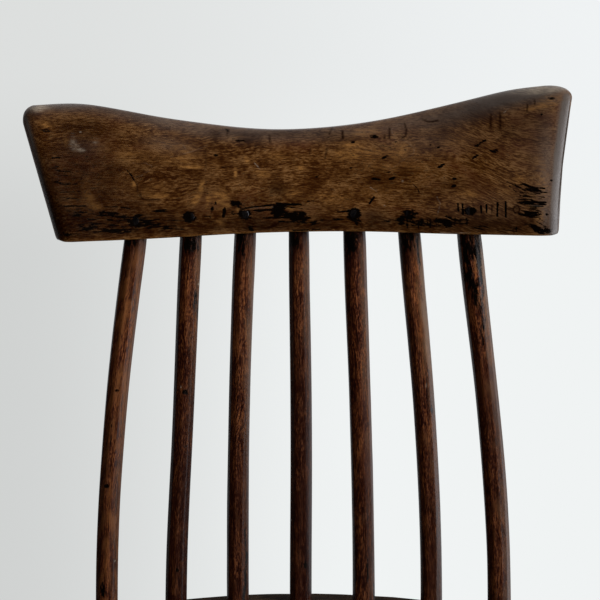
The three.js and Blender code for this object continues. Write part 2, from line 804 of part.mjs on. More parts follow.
// Comb pegs stand square to the leaning faces, one through the tenon of each long stick.
function makeCombPeg(heightShare, i) {
  const x = combStickHalfSpan * combStickShares[i];
  const height = combPegHeight * heightShare;
  const frontY = combFaceY(x, height, -1);
  const thickness = (combFaceY(x, height, 1) - frontY) * Math.cos(combLean);
  const front = new THREE.Vector3(x, frontY, combBottomHeight + height);
  const through = new THREE.Vector3(0, Math.cos(combLean), -Math.sin(combLean));
  const from = front.clone().addScaledVector(through, -combPegProud);
  const to = front.clone().addScaledVector(through, thickness + combPegProud);
  return makePeg(`comb_peg_${i + 1}`, from, to, combPegRadius);
}

const combPegs = combPegHeightShares.map(makeCombPeg);

// Crest pegs go down through the crest and the arms, between the outer sticks and beyond them.
const crestPegAngles = [
  (crestStart + longAngles[0]) / 2,
  (longAngles[0] + longAngles[1]) / 2,
  (longAngles[5] + longAngles[6]) / 2,
  (longAngles[6] + crestEnd) / 2,
];

const crestPegs = crestPegAngles.map((angle, i) => {
  const { x, y } = bowPoint(angle);
  const from = new THREE.Vector3(x, y, armTopHeight - armThickness);
  const to = new THREE.Vector3(x, y, crestTopAt(angle) + crestPegProud);
  return makePeg(`crest_peg_${i + 1}`, from, to, crestPegRadius);
});

// Sockets and peg holes
const cuttersOf = (made) => made.map(({ cutter }) => cutter);
const meshesOf = (made) => made.map(({ mesh }) => mesh);
const wedgesOf = (made) => made.map(({ wedge }) => wedge);

cut(seat, cuttersOf([...legs, ...longSticks, ...shortSticks]));
for (const arm of [armLeft, armRight]) cut(arm, cuttersOf([...longSticks, ...shortSticks, ...crestPegs]));
cut(crest, cuttersOf([...longSticks, ...crestPegs]));
cut(comb, cuttersOf([...longSticks, ...combPegs]));
longSticks.forEach(({ mesh }, i) => cut(mesh, [combPegs[i].cutter]));

// Assembly, standing on the floor with its outer box centred on the origin
const base = new THREE.Group();
base.add(seat, ...meshesOf(legs), ...wedgesOf(legs), ...meshesOf([sideLeft, sideRight, cross]));
const bow = new THREE.Group();
bow.add(armLeft, armRight, crest, ...meshesOf(crestPegs), ...meshesOf(shortSticks), ...wedgesOf(shortSticks));
const back = new THREE.Group();
back.add(comb, ...meshesOf(longSticks), ...meshesOf(combPegs));

const chair = new THREE.Group();
chair.add(base, bow, back);
chair.updateMatrixWorld(true);
const outerBox = new THREE.Box3().setFromObject(chair, true);
const centre = outerBox.getCenter(new THREE.Vector3());
for (const part of [base, bow, back]) part.position.set(-centre.x, -centre.y, -outerBox.min.z);

export default chair;
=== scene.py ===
# %% [markdown]
# # A comb-back stick chair
# The chair already exists as plain solids: a plank seat on four legs, an arm bow carried on sticks,
# and seven long sticks that run up through the bow into a shaped comb. This lesson gives every one
# of them its hand-made surface and its finish of old, waxed, almost black wood. The solids stay the
# measure of everything: each fine surface is worked out from cuts through them.

# %% Load the solids
import math

import bpy
import numpy as np
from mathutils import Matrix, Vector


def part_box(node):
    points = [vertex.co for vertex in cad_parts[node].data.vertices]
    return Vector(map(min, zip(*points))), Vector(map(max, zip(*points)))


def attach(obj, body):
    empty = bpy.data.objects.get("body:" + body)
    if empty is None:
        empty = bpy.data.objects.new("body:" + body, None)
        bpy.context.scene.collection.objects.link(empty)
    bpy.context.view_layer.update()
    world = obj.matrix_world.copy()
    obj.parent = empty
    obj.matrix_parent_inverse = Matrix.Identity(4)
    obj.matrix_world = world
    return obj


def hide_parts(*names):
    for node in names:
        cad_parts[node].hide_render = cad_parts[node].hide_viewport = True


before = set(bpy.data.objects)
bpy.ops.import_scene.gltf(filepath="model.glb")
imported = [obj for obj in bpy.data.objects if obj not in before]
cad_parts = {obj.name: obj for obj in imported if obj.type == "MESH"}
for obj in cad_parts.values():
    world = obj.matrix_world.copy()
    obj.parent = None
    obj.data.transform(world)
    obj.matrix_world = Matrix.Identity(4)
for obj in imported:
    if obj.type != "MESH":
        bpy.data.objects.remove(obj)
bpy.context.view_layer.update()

# %% [markdown]
# A surface can only follow a solid if we can ask the solid where it is. The simplest question is a
# saw cut: which points does a flat plane leave on the edges of the piece? From such cuts come the
# middle line of a stick, the curve of the comb and the outline of the seat, so that no place has to
# be typed twice.

# %% Saw cuts through a solid
x_axis, y_axis, z_axis = np.eye(3)
edge_store = {}


def edges_of(node):
    """Both ends of each edge of a node, as an array of shape (edges, 2, 3)."""
    if node not in edge_store:
        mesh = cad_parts[node].data
        points = np.empty(len(mesh.vertices) * 3)
        mesh.vertices.foreach_get("co", points)
        pairs = np.empty(len(mesh.edges) * 2, dtype=int)
        mesh.edges.foreach_get("vertices", pairs)
        edge_store[node] = points.reshape(-1, 3)[pairs.reshape(-1, 2)]
    return edge_store[node]


def saw_cut(node, normal, offset):
    """Points p on the edges a-b where normal.p = offset: p = a + (b - a) t, with t = da / (da - db)."""
    ends = edges_of(node)
    distance = ends @ normal - offset
    crossed = distance[:, 0] * distance[:, 1] < 0
    ends, distance = ends[crossed], distance[crossed]
    t = distance[:, :1] / (distance[:, :1] - distance[:, 1:])
    return ends[:, 0] + (ends[:, 1] - ends[:, 0]) * t


def smooth_line(places, values, degree):
    """A polynomial of that degree through measured values, carried on straight past the first and last."""
    fit = np.polynomial.Polynomial.fit(places, values, degree)
    slope = fit.deriv()
    low, high = min(places), max(places)

    def at(x):
        """The polynomial between the first and the last place, and its tangent beyond them."""
        inside = np.clip(x, low, high)
        return fit(inside) + slope(inside) * (x - inside)

    return at


def windows_of(values, reach):
    """The 2 reach + 1 neighbours of each value, with both ends carried on by mirroring: 2 end - value."""
    head = 2 * values[0] - values[reach:0:-1]
    tail = 2 * values[-1] - values[-2:-reach - 2:-1]
    carried_on = np.concatenate([head, values, tail])
    return np.lib.stride_tricks.sliding_window_view(carried_on, 2 * reach + 1)


def evened(places, values, reach=3):
    """A running median drops the cuts that a hole spoils, two running means even out the facets, and
    between the places runs the cubic that has the same values and slopes."""
    values = np.median(windows_of(np.asarray(values), reach), axis=-1)
    for _ in range(2):
        values = windows_of(values, reach).mean(-1)
    slopes = np.gradient(values, places)

    def at(x):
        """The cubic through the values and slopes on both sides of x, and straight beyond the ends."""
        inside = np.clip(x, places[0], places[-1])
        i = np.clip(np.searchsorted(places, inside) - 1, 0, len(places) - 2)
        step = places[i + 1] - places[i]
        t = (inside - places[i]) / step
        from_left = (values[i] * (1 + 2 * t) + slopes[i] * step * t) * (1 - t) ** 2
        from_right = (values[i + 1] * (3 - 2 * t) - slopes[i + 1] * step * (1 - t)) * t**2
        return from_left + from_right + np.where(x < places[0], slopes[0], slopes[-1]) * (x - inside)

    return at


comb_foot_depth = 0.0005
comb_middle_cut = saw_cut("comb", x_axis, 0)
comb_foot_height = comb_middle_cut[:, 2].min()
foot_points = comb_middle_cut[comb_middle_cut[:, 2] < comb_foot_height + comb_foot_depth]
comb_foot_y = (foot_points[:, 1].min() + foot_points[:, 1].max()) / 2
print("middle of the comb's foot: y", round(comb_foot_y, 4), "z", round(comb_foot_height, 4))

# %% [markdown]
# The camera comes before everything else, because what it sees decides where detail is worth its
# work. It stands in front of the comb and a little above it, and looks slightly down. Old wear and
# painted light on the wood are placed by what this camera sees, so the same numbers also give a
# function that says where a point of the chair shows in the 600 by 600 picture.

# %% Camera
camera_distance = 1.350
camera_rise = 0.145
camera_pitch = math.radians(8.6)
camera_lens = 97.2
sensor_width = 36.0
picture_size = 600

camera_place = np.array([0, comb_foot_y - camera_distance, comb_foot_height + camera_rise])
camera_data = bpy.data.cameras.new("camera")
camera_data.lens = camera_lens
camera_data.sensor_width = sensor_width
camera = bpy.data.objects.new("camera", camera_data)
camera.location = camera_place
camera.rotation_euler = (math.pi / 2 - camera_pitch, 0, 0)
bpy.context.scene.collection.objects.link(camera)
bpy.context.scene.camera = camera
bpy.context.scene.view_settings.view_transform = "Standard"


def shown_at(points):
    """Picture place of points: u = 300 + f p.right / p.forward and v = 300 - f p.up / p.forward."""
    forward = np.array([0, math.cos(camera_pitch), -math.sin(camera_pitch)])
    up = np.array([0, math.sin(camera_pitch), math.cos(camera_pitch)])
    seen = points - camera_place
    focal = camera_lens / sensor_width * picture_size
    depth = seen @ forward
    middle = picture_size / 2
    return middle + focal * (seen @ x_axis) / depth, middle - focal * (seen @ up) / depth


print("camera at", camera_place.round(4), "looking down", round(math.degrees(camera_pitch), 1), "degrees")

# %% [markdown]
# Every piece of the chair is a closed skin over a grid: rings of points, one after another along the
# piece, with a single point closing each end. Building the faces straight from grid indices keeps
# the skin watertight, and one sign test of its volume makes the faces look outwards. Each point also
# carries three sets of three numbers for the finish: where it lies in the straightened wood, how
# much it is stained, worn golden and pale from scuffs and painted highlights, and how dark from dirt
# and painted shade, how grey from dusty wood and painted sheen, and how flecked it is at large.

# %% Skins over grids of rings
root_body = "root"


def capped(rings, shares):
    """Adds rings that shrink to the middle of each end: middle + (ring - middle) share."""
    shrink = np.array(shares)[:, None, None]
    first, last = rings[0], rings[-1]
    start = first.mean(0) + (first - first.mean(0)) * shrink[::-1]
    end = last.mean(0) + (last - last.mean(0)) * shrink
    return np.concatenate([start, rings, end])


def signed_volume(rings):
    """Sum over the quads of a.(b x c) / 6 for their two triangles; negative if the skin is inside out."""
    a, b = rings[:-1], np.roll(rings[:-1], -1, axis=1)
    c, d = np.roll(rings[1:], -1, axis=1), rings[1:]
    return ((a * np.cross(b, c)).sum() + (a * np.cross(c, d)).sum()) / 6


def faces_of(rows, columns):
    """Quads between neighbouring rings, and a fan of triangles from each end's point to its ring."""
    place = np.arange(rows * columns).reshape(rows, columns)
    beside = np.roll(place, -1, axis=1)
    quads = np.stack([place[:-1], beside[:-1], beside[1:], place[1:]], axis=-1).reshape(-1, 4)
    start = np.full(columns, rows * columns)
    fans = np.concatenate([
        np.stack([start, beside[0], place[0]], axis=-1),
        np.stack([start + 1, place[-1], beside[-1]], axis=-1),
    ])
    return quads, fans


def skin(name, rings, wood_places, marks, shades=None, end_shares=(0.97, 0.9, 0.6, 0.25)):
    """Makes a smooth closed mesh from an array of rings (rows, columns, 3) and its finish numbers."""
    shades = 0 * rings if shades is None else shades
    layers = [capped(layer, end_shares) for layer in (rings, wood_places, marks, shades)]
    if signed_volume(layers[0]) < 0:
        layers = [layer[:, ::-1] for layer in layers]
    rows, columns = layers[0].shape[:2]
    flat = [
        np.concatenate([layer.reshape(-1, 3), layer[:1].mean(1), layer[-1:].mean(1)])
        for layer in layers
    ]
    quads, fans = faces_of(rows, columns)
    mesh = bpy.data.meshes.new(name)
    mesh.vertices.add(len(flat[0]))
    mesh.vertices.foreach_set("co", flat[0].astype(np.float32).ravel())
    mesh.loops.add(quads.size + fans.size)
    corners = np.concatenate([quads.ravel(), fans.ravel()])
    mesh.loops.foreach_set("vertex_index", corners.astype(np.int32))
    mesh.polygons.add(len(quads) + len(fans))
    starts = np.concatenate([np.arange(len(quads)) * 4, quads.size + np.arange(len(fans)) * 3])
    mesh.polygons.foreach_set("loop_start", starts.astype(np.int32))
    mesh.update(calc_edges=True)
    mesh.validate()
    for attribute_name, values in zip(("wood_place", "marks", "shades"), flat[1:]):
        attribute = mesh.attributes.new(attribute_name, "FLOAT_VECTOR", "POINT")
        attribute.data.foreach_set("vector", values.astype(np.float32).ravel())
    mesh.shade_smooth()
    made = bpy.data.objects.new(name, mesh)
    bpy.context.scene.collection.objects.link(made)
    return made


def hand_over(made, material, slot_name, *nodes):
    """Gives a finished piece its material and its body, and hides the solids that it stands for."""
    made.data.materials.append(material)
    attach(made, root_body)
    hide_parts(*nodes)
    print(made.name, "has", sum(len(p.vertices) - 2 for p in made.data.polygons), "triangles")
    return made


# %% [markdown]
# Nothing on this chair was made by a machine. Faces roll by a few tenths of a millimetre where a
# plane or a knife went over them, and no two strokes line up. A handful of slow sine waves that run
# in every direction gives that unevenness, and a fixed seed gives the same chair every time.

# %% Unevenness
def rolling(places, length, seed, waves=9):
    """Slow unevenness of about -1 to 1: the sum of sines sin(k.p + phase), with k near 2 pi / length."""
    random = np.random.default_rng(seed)
    way = random.normal(size=(waves, 3))
    way /= np.linalg.norm(way, axis=1, keepdims=True)
    pace = 2 * np.pi / length * random.uniform(0.6, 1.5, (waves, 1))
    phase = random.uniform(0, 2 * np.pi, waves)
    return np.sin(places @ (way * pace).T + phase).sum(-1) / math.sqrt(waves)


# %% [markdown]
# Wear and dirt are painted by numbers, and so are painted shade, sheen and highlights. A mark is a
# soft oval or a thin stroke in the picture, with a strength from 0 to 1 that fades as a bell curve,
# so a list of marks is short and can be moved and mended one by one. Pieces that the picture does not
# show get slow patches of wear instead.

# %% Painted wear, painted light and rounded ends
def joined(field, more):
    """Two strengths from 0 to 1 laid over each other: 1 - (1 - field)(1 - more)."""
    return 1 - (1 - field) * (1 - more)


def spots(u, v, rows):
    """Soft ovals, exp(-(a^2 + b^2)) times a strength, with a along the oval and b across it."""
    field = np.zeros(u.shape)
    for middle_u, middle_v, half_length, half_height, turn, strength in rows:
        c, s = math.cos(math.radians(turn)), math.sin(math.radians(turn))
        a = ((u - middle_u) * c + (v - middle_v) * s) / half_length
        b = ((v - middle_v) * c - (u - middle_u) * s) / half_height
        field = joined(field, strength * np.exp(-(a * a + b * b)))
    return field


def strokes(u, v, rows):
    """Thin marks: exp(-(distance to a line from (u0, v0) to (u1, v1) / half width)^2) times a strength."""
    field = np.zeros(u.shape)
    for u0, v0, u1, v1, half_width, strength in rows:
        run_u, run_v = u1 - u0, v1 - v0
        t = np.clip(((u - u0) * run_u + (v - v0) * run_v) / (run_u**2 + run_v**2), 0, 1)
        gap = np.hypot(u - u0 - t * run_u, v - v0 - t * run_v)
        field = np.maximum(field, strength * np.exp(-((gap / half_width) ** 2)))
    return field


def curve(half_width, strength, *corners):
    """The strokes of a line that runs through several corners (u, v)."""
    return [(*a, *b, half_width, strength) for a, b in zip(corners, corners[1:])]


def chance_marks(points, grime, wear, length, seed):
    """An even grime, golden wear where a slow wave is high, and no scuffs."""
    worn = np.clip(wear * rolling(points, length, seed), 0, 1)
    return np.stack([grime + 0 * worn, worn, 0 * worn], axis=-1)


def drawn_in(distance, radius, depth=None):
    """How far a rounded end draws in at a distance d from its tip: depth (1 - sqrt(1 - (1 - d / r)^2))."""
    left = np.clip(1 - distance / radius, 0, 1)
    return (radius if depth is None else depth) * (1 - np.sqrt(1 - left**2))


# %% [markdown]
# A finish is a graph of small nodes, and each of them takes numbers or what other nodes give out.
# Such a graph soon grows too long to read. So a few helpers add a node, do a sum, blend two colours
# or make clouds of noise, and each gives back the output that the next one needs.

# %% Small helpers for shader nodes
def empty_graph(owner):
    """Clears the node graph of a material or a world, and gives it back."""
    owner.use_nodes = True
    owner.node_tree.nodes.clear()
    return owner.node_tree


def node(tree, kind, inputs=None, **settings):
    """Adds a shader node; inputs are numbers or the outputs of other nodes."""
    made = tree.nodes.new(kind)
    for key, value in settings.items():
        setattr(made, key, value)
    for key, value in (inputs or {}).items():
        if isinstance(value, bpy.types.NodeSocket):
            tree.links.new(value, made.inputs[key])
        else:
            made.inputs[key].default_value = value
    return made


def calculate(tree, operation, *values):
    """The output of a Math node that works on the given values."""
    return node(tree, "ShaderNodeMath", dict(enumerate(values)), operation=operation).outputs[0]


def calculate_place(tree, operation, *places):
    """The output of a Vector Math node that works on the given places."""
    return node(tree, "ShaderNodeVectorMath", dict(enumerate(places)), operation=operation).outputs[0]


def step_between(tree, value, low, high):
    """0 below low, 1 above high and a smooth step between."""
    inputs = {"Value": value, "From Min": low, "From Max": high}
    return node(tree, "ShaderNodeMapRange", inputs, interpolation_type="SMOOTHSTEP").outputs[0]


def blended(tree, share, first, second):
    """Colour first where share is 0 and second where it is 1; sockets 6 and 7 take the two colours."""
    inputs = {"Factor": share, 6: first, 7: second}
    return node(tree, "ShaderNodeMix", inputs, data_type="RGBA", clamp_factor=True).outputs[2]


def clouds(tree, place, scale, detail, roughness):
    """Noise from 0 to 1 on a place that is stretched by three scales, in waves per metre."""
    stretched = node(tree, "ShaderNodeMapping", {"Vector": place, "Scale": scale}).outputs[0]
    inputs = {"Vector": stretched, "Scale": 1.0, "Detail": detail, "Roughness": roughness}
    return node(tree, "ShaderNodeTexNoise", inputs).outputs[0]


def linear(red, green, blue):
    """A colour as a screen shows it, 0 to 255, made linear: ((c / 255 + 0.055) / 1.055)^2.4."""
    shares = [channel / 255 for channel in (red, green, blue)]
    return tuple(c / 12.92 if c <= 0.04045 else ((c + 0.055) / 1.055) ** 2.4 for c in shares) + (1.0,)


# %% [markdown]
# Old waxed wood is not one colour. Under the shine lie long fibres, open pores, slow bands of growth
# and cloudy patches of grime. Noise that is stretched along the grain gives all of them. It reads
# the straightened place in the wood, so that the fibres follow a bent stick or a bow.

# %% Grain of the wood
drift_scale = (9, 30, 30)
drift_reach = (0, 0.02, 0.02)
fleck_width_rate = 1.6
patch_scale = (55, 90, 90)
haze_scale = (16, 30, 30)


def drifted(tree, place):
    """Place + (slow noise - 0.5) reach, so that the fibres are never quite straight."""
    slow = node(tree, "ShaderNodeMapping", {"Vector": place, "Scale": drift_scale}).outputs[0]
    drift = node(tree, "ShaderNodeTexNoise", {"Vector": slow, "Scale": 1.0, "Detail": 2.0}).outputs[1]
    shift = calculate_place(tree, "ADD", drift, (-0.5, -0.5, -0.5))
    return calculate_place(tree, "ADD", place, calculate_place(tree, "MULTIPLY", shift, drift_reach))


def grain(tree, place, bent, length, width, fleck_rate):
    """Four noises: fibres, flecks, patches and haze, with length and width as fibres to a metre."""
    fibre_scale = (length, width, width)
    fleck_scale = (length * fleck_rate, width * fleck_width_rate, width * fleck_width_rate)
    return (
        clouds(tree, bent, fibre_scale, 3.0, 0.65),
        clouds(tree, bent, fleck_scale, 2.5, 0.6),
        clouds(tree, place, patch_scale, 4.0, 0.6),
        clouds(tree, place, haze_scale, 4.0, 0.62),
    )


def grain_colour(tree, noises, weights, contrast, colours):
    """Sum of noise times weight, stretched about its middle, reads a colour off an even row of them."""
    tone = calculate(tree, "MULTIPLY", noises[0], weights[0])
    for part, weight in zip(noises[1:], weights[1:]):
        tone = calculate(tree, "MULTIPLY_ADD", part, weight, tone)
    middle = 0.5 * sum(weights)
    tone = step_between(tree, tone, middle * (1 - contrast), middle * (1 + contrast))
    ramp = node(tree, "ShaderNodeValToRGB", {0: tone})
    stops = ramp.color_ramp.elements
    while len(stops) < len(colours):
        stops.new(0.5)
    for i, colour in enumerate(colours):
        stops[i].position = i / (len(colours) - 1)
        stops[i].color = linear(*colour)
    return ramp.outputs[0]


# %% [markdown]
# Age and painted light lie over the grain in layers: red clouds, golden wear, the grey of dusty wood
# and a painted sheen, darkness of dirt and painted shade, black pits and stains, and pale scuffs and
# painted highlights. The numbers that each surface carries say where. Noise tears the edges of the
# painted marks, so that they look soaked in or rubbed off rather than drawn.

# %% Age and painted light over the grain
torn_scale = (120, 520, 520)
torn_range = {"From Min": 0.36, "From Max": 0.64, "To Min": 0.4, "To Max": 1.6}
red_range, red_strength = (0.5, 0.68), 0.6
gold_range, stain_range, scuff_range = (0.12, 1.2), (0.34, 0.6), (0.05, 1.2)
polish_and_highlight_range = (0.55, 1.4)
pit_range, pit_strength, pit_gain = (0.66, 0.76), 0.8, 0.14
# The grey is dusty wood and a painted sheen, the pale grey a painted highlight, the colour of scuffs serves
# for painted highlights too, and dusk is the dark of dirt and painted shade.
age_colours = dict(
    gold=(134, 92, 46), soot=(4, 2, 1), scuff=(124, 112, 98), dust_sheen_grey=(75, 66, 60),
    painted_highlight_grey=(68, 61, 57), dusk=(16, 3, 0), red=(54, 22, 7),
)


def carried_numbers(tree, attribute_name):
    """The three numbers that each point of a surface carries under a name."""
    numbers = node(tree, "ShaderNodeAttribute", attribute_name=attribute_name).outputs["Vector"]
    return node(tree, "ShaderNodeSeparateXYZ", {0: numbers}).outputs


def aged(tree, colour, bent, noises, paints):
    """Blends towards each paint in turn, and gives the colour, how black it is, how pale from scuffs and
    painted highlights, and how far a painted highlight with more polish lies on it.

    Grey of dusty wood and painted sheen covers by 1.4 flecks + 0.8 patches - 0.1, and dark of dirt and
    painted shade by 0.3 torn + 0.7 of its strength."""
    _, flecks, patches, haze_patches = noises
    stain_mark, gold_mark, scuff_mark = carried_numbers(tree, "marks")
    dark_shade, grey_dust_and_sheen, fleck_shade = carried_numbers(tree, "shades")
    rough_edge = clouds(tree, bent, torn_scale, 3.0, 0.7)
    torn = node(tree, "ShaderNodeMapRange", {"Value": rough_edge, **torn_range}).outputs[0]

    def torn_mark(mark, mark_range):
        """A smooth step of mark times torn, between the two ends of its range."""
        return step_between(tree, calculate(tree, "MULTIPLY", mark, torn), *mark_range)

    reddened = calculate(tree, "MULTIPLY", step_between(tree, haze_patches, *red_range), red_strength)
    colour = blended(tree, reddened, colour, linear(*paints["red"]))
    colour = blended(tree, torn_mark(gold_mark, gold_range), colour, linear(*paints["gold"]))
    # Where the grey is strongest it is a painted highlight, in a paler grey.
    polish_and_highlight = step_between(tree, grey_dust_and_sheen, *polish_and_highlight_range)
    cover = calculate(tree, "MULTIPLY_ADD", patches, 0.8, -0.1)
    cover = calculate(tree, "MULTIPLY_ADD", flecks, 1.4, cover)
    greyed = calculate(tree, "MULTIPLY", grey_dust_and_sheen, calculate(tree, "ADD", cover, polish_and_highlight))
    dust_and_sheen = blended(tree, polish_and_highlight, linear(*paints["dust_sheen_grey"]), linear(*paints["painted_highlight_grey"]))
    colour = blended(tree, greyed, colour, dust_and_sheen)
    # The dark layer is dirt and painted shade.
    darkened = calculate(tree, "MULTIPLY", dark_shade, calculate(tree, "MULTIPLY_ADD", torn, 0.3, 0.7))
    colour = blended(tree, darkened, colour, linear(*paints["dusk"]))
    pits = step_between(tree, calculate(tree, "MULTIPLY_ADD", fleck_shade, pit_gain, flecks), *pit_range)
    pits = calculate(tree, "MULTIPLY", pits, pit_strength)
    black = calculate(tree, "MAXIMUM", pits, torn_mark(stain_mark, stain_range))
    colour = blended(tree, black, colour, linear(*paints["soot"]))
    # Pale scuffs, and painted highlights such as the arc on each peg.
    scuff_and_highlight_share = torn_mark(scuff_mark, scuff_range)
    return blended(tree, scuff_and_highlight_share, colour, linear(*paints["scuff"])), black, scuff_and_highlight_share, polish_and_highlight


# %% [markdown]
# One function builds the finish of every piece from the grain, its age and its painted light. It
# takes the colours and the strengths, so that the comb, the sticks and the seat are told apart by
# their values alone. The wax is duller where it is scuffed and where a painted highlight lies, and
# the bump sinks where the wood is black and eaten.

# %% Old waxed wood
def old_wood(name, colours, length=24, width=760, fleck_rate=5, fibre=0.3, fleck=0.62, mottle=0.5,
             broad=0.4, contrast=0.16, gloss=0.34, specular=0.06, shine=0.0, relief=0.0002, **paints):
    """Roughness = gloss - 0.1 + 0.2 patches + 0.15 scuffs and painted highlights + 0.24 the strongest
    painted highlight, and the bump's height is fibres + 0.6 flecks - 0.7 black."""
    material = bpy.data.materials.new(name)
    tree = empty_graph(material)
    place = node(tree, "ShaderNodeAttribute", attribute_name="wood_place").outputs["Vector"]
    bent = drifted(tree, place)
    noises = grain(tree, place, bent, length, width, fleck_rate)
    fibres, flecks, patches, _ = noises
    colour = grain_colour(tree, noises, (fibre, fleck, mottle, broad), contrast, colours)
    colour, black, scuff_and_highlight_share, polish_and_highlight = aged(tree, colour, bent, noises, {**age_colours, **paints})

    rough = calculate(tree, "MULTIPLY_ADD", patches, 0.2, gloss - 0.1)
    rough = calculate(tree, "MULTIPLY_ADD", scuff_and_highlight_share, 0.15, rough)
    rough = calculate(tree, "MULTIPLY_ADD", polish_and_highlight, 0.24, rough)
    polish = calculate(tree, "MULTIPLY_ADD", polish_and_highlight, shine, specular)
    height = calculate(tree, "MULTIPLY_ADD", flecks, 0.6, fibres)
    height = calculate(tree, "MULTIPLY_ADD", black, -0.7, height)
    bump = node(tree, "ShaderNodeBump", {"Height": height, "Strength": 0.6, "Distance": relief}).outputs[0]
    shader = node(tree, "ShaderNodeBsdfPrincipled", {
        "Base Color": colour, "Roughness": rough, "Specular IOR Level": polish, "Normal": bump,
    })
    node(tree, "ShaderNodeOutputMaterial", {"Surface": shader.outputs[0]})
    return material


# %% [markdown]
# The comb is the brownest piece and has the finest figure. The sticks are redder and streaked along
# their length, the bow is dull and nearly black, and the seat and legs lie between them. The pegs
# have soaked up the most grime, and end grain is dark in any wood. The short sticks have less wax on
# them than the long ones, which every back has rubbed.

# %% Finishes of the pieces
comb_finish = old_wood(
    "comb_finish", [(38, 15, 1), (60, 33, 8), (77, 48, 19), (106, 74, 42)],
    fleck_rate=9, fleck=0.72, mottle=0.38, broad=0.3, specular=0.045, shine=0.55,
)
# The grey of the sticks is the painted sheen on their side towards the window.
stick_look = dict(
    colours=[(18, 4, 2), (42, 15, 6), (66, 31, 13), (112, 65, 33)], length=34, width=980,
    fleck_rate=9, fibre=0.6, fleck=0.7, mottle=0.25, broad=0.2,
    gold=(104, 62, 30), dust_sheen_grey=(88, 66, 48), dusk=(19, 4, 2), red=(48, 18, 8),
)
stick_finish = old_wood("stick_finish", gloss=0.36, specular=0.12, **stick_look)
dull_stick_finish = old_wood("dull_stick_finish", gloss=0.7, specular=0.03, **stick_look)
bow_finish = old_wood(
    "bow_finish", [(12, 8, 6), (20, 15, 11), (30, 24, 17), (46, 35, 24)],
    length=20, width=420, gloss=0.75, specular=0.02, red=(26, 16, 11), gold=(92, 62, 34),
)
seat_finish = old_wood(
    "seat_finish", [(34, 18, 8), (60, 36, 15), (78, 50, 22), (104, 71, 36)],
    length=5, width=210, fibre=0.8, fleck=0.4, mottle=0.35, broad=0.35, contrast=0.22, gloss=0.4,
    relief=0.0003,
)
leg_finish = old_wood(
    "leg_finish", [(22, 10, 6), (42, 22, 12), (60, 35, 19), (84, 54, 31)],
    length=14, width=460, fibre=0.5, fleck=0.4, mottle=0.2, gloss=0.4,
)
# The pale grey of the pegs is their painted highlight.
peg_finish = old_wood(
    "peg_finish", [(2, 2, 3), (5, 4, 5), (9, 8, 8), (18, 14, 12)],
    length=300, width=900, gloss=0.5, specular=0.03, scuff=(112, 112, 116), red=(8, 5, 5),
)
print("finishes:", len(bpy.data.materials))

# %% [markdown]
# The comb is one thick board, bent in plan and leaning back, with a hollow top edge and two raised
# tips. Cuts level with the floor give the circle that each face follows, and upright cuts give the
# top and the foot. Both faces are parts of circles whose centre moves back with height, so a
# straight-line fit of centre and radius against height holds the whole bend and the whole lean.

# %% Measure the comb
comb_low, comb_high = (np.array(corner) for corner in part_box("comb"))
comb_end_clear = 0.024
comb_socket_clear = 0.049
comb_round_clear = 0.073
comb_face_cuts = 8


def arc_through(points):
    """Circle centred on x = 0 by least squares: x^2 + y^2 = 2 c y + (r^2 - c^2)."""
    sides = np.stack([2 * points[:, 1], np.ones(len(points))], axis=1)
    c, rest = np.linalg.lstsq(sides, (points[:, :2] ** 2).sum(1), rcond=None)[0]
    return c, math.sqrt(rest + c * c)


def comb_faces_at(height):
    """Centre and radius of the front and of the back face, from one level cut."""
    points = saw_cut("comb", z_axis, height)
    points = points[np.abs(points[:, 0]) < comb_high[0] - comb_end_clear]
    parabola = np.polynomial.Polynomial.fit(points[:, 0], points[:, 1], 2)
    behind = points[:, 1] > parabola(points[:, 0])
    return [*arc_through(points[~behind]), *arc_through(points[behind])]


comb_levels = np.linspace(
    comb_foot_height + comb_socket_clear, comb_foot_height + comb_round_clear, comb_face_cuts,
)
face_table = np.array([comb_faces_at(level) for level in comb_levels])
front_centre, front_radius, back_centre, back_radius = (
    smooth_line(comb_levels, column, 1) for column in face_table.T
)


def comb_half_thickness(z):
    """Half of the gap between the faces, at the middle of the comb."""
    return (back_centre(z) + back_radius(z) - front_centre(z) - front_radius(z)) / 2


def on_comb(x, z, across):
    """Point (x, c + sqrt(r^2 - x^2)) of the middle arc, moved by a distance across along its radius."""
    centre = (front_centre(z) + back_centre(z)) / 2
    radius = (front_radius(z) + back_radius(z)) / 2
    depth = np.sqrt(radius**2 - x**2)
    return np.stack([x + across * x / radius, centre + depth * (1 + across / radius), z], axis=-1)


print("comb radius", round(float(front_radius(comb_foot_height)), 4),
      "half thickness at the foot", round(float(comb_half_thickness(comb_foot_height)), 4))

# %% [markdown]
# The outline is not a formula: the maker drew it by eye, with one tip higher than the other. So it is
# measured as four lines, the top, the foot and the two ends, each from a row of cuts. The ends are
# measured on the level cuts, and brought in a little, because their outermost points lie behind.

# %% Outline of the comb
comb_tip_clear = 0.014
comb_left_share = 0.42
comb_right_share = 0.25
comb_right_hollow = 0.0016
comb_foot_clear = 0.006
comb_left_measured = 0.088
comb_right_measured = 0.106
comb_top_cuts, comb_foot_cuts, comb_end_cuts = 120, 90, 40


def comb_edges_at(x):
    """Lowest and highest point of an upright cut at x."""
    z = saw_cut("comb", x_axis, x)[:, 2]
    return z.min(), z.max()


def comb_ends_at(z):
    """Left and right end of a level cut, brought in from the back corner: x (1 - share h / r)."""
    x = saw_cut("comb", z_axis, z)[:, 0]
    thin = comb_half_thickness(z) / front_radius(z)
    return x.min() * (1 - comb_left_share * thin), x.max() * (1 - comb_right_share * thin)


def comb_end_levels(measured):
    """Even heights from just above the foot to where an end starts to round over."""
    return np.linspace(comb_foot_height + comb_foot_clear, comb_foot_height + measured, comb_end_cuts)


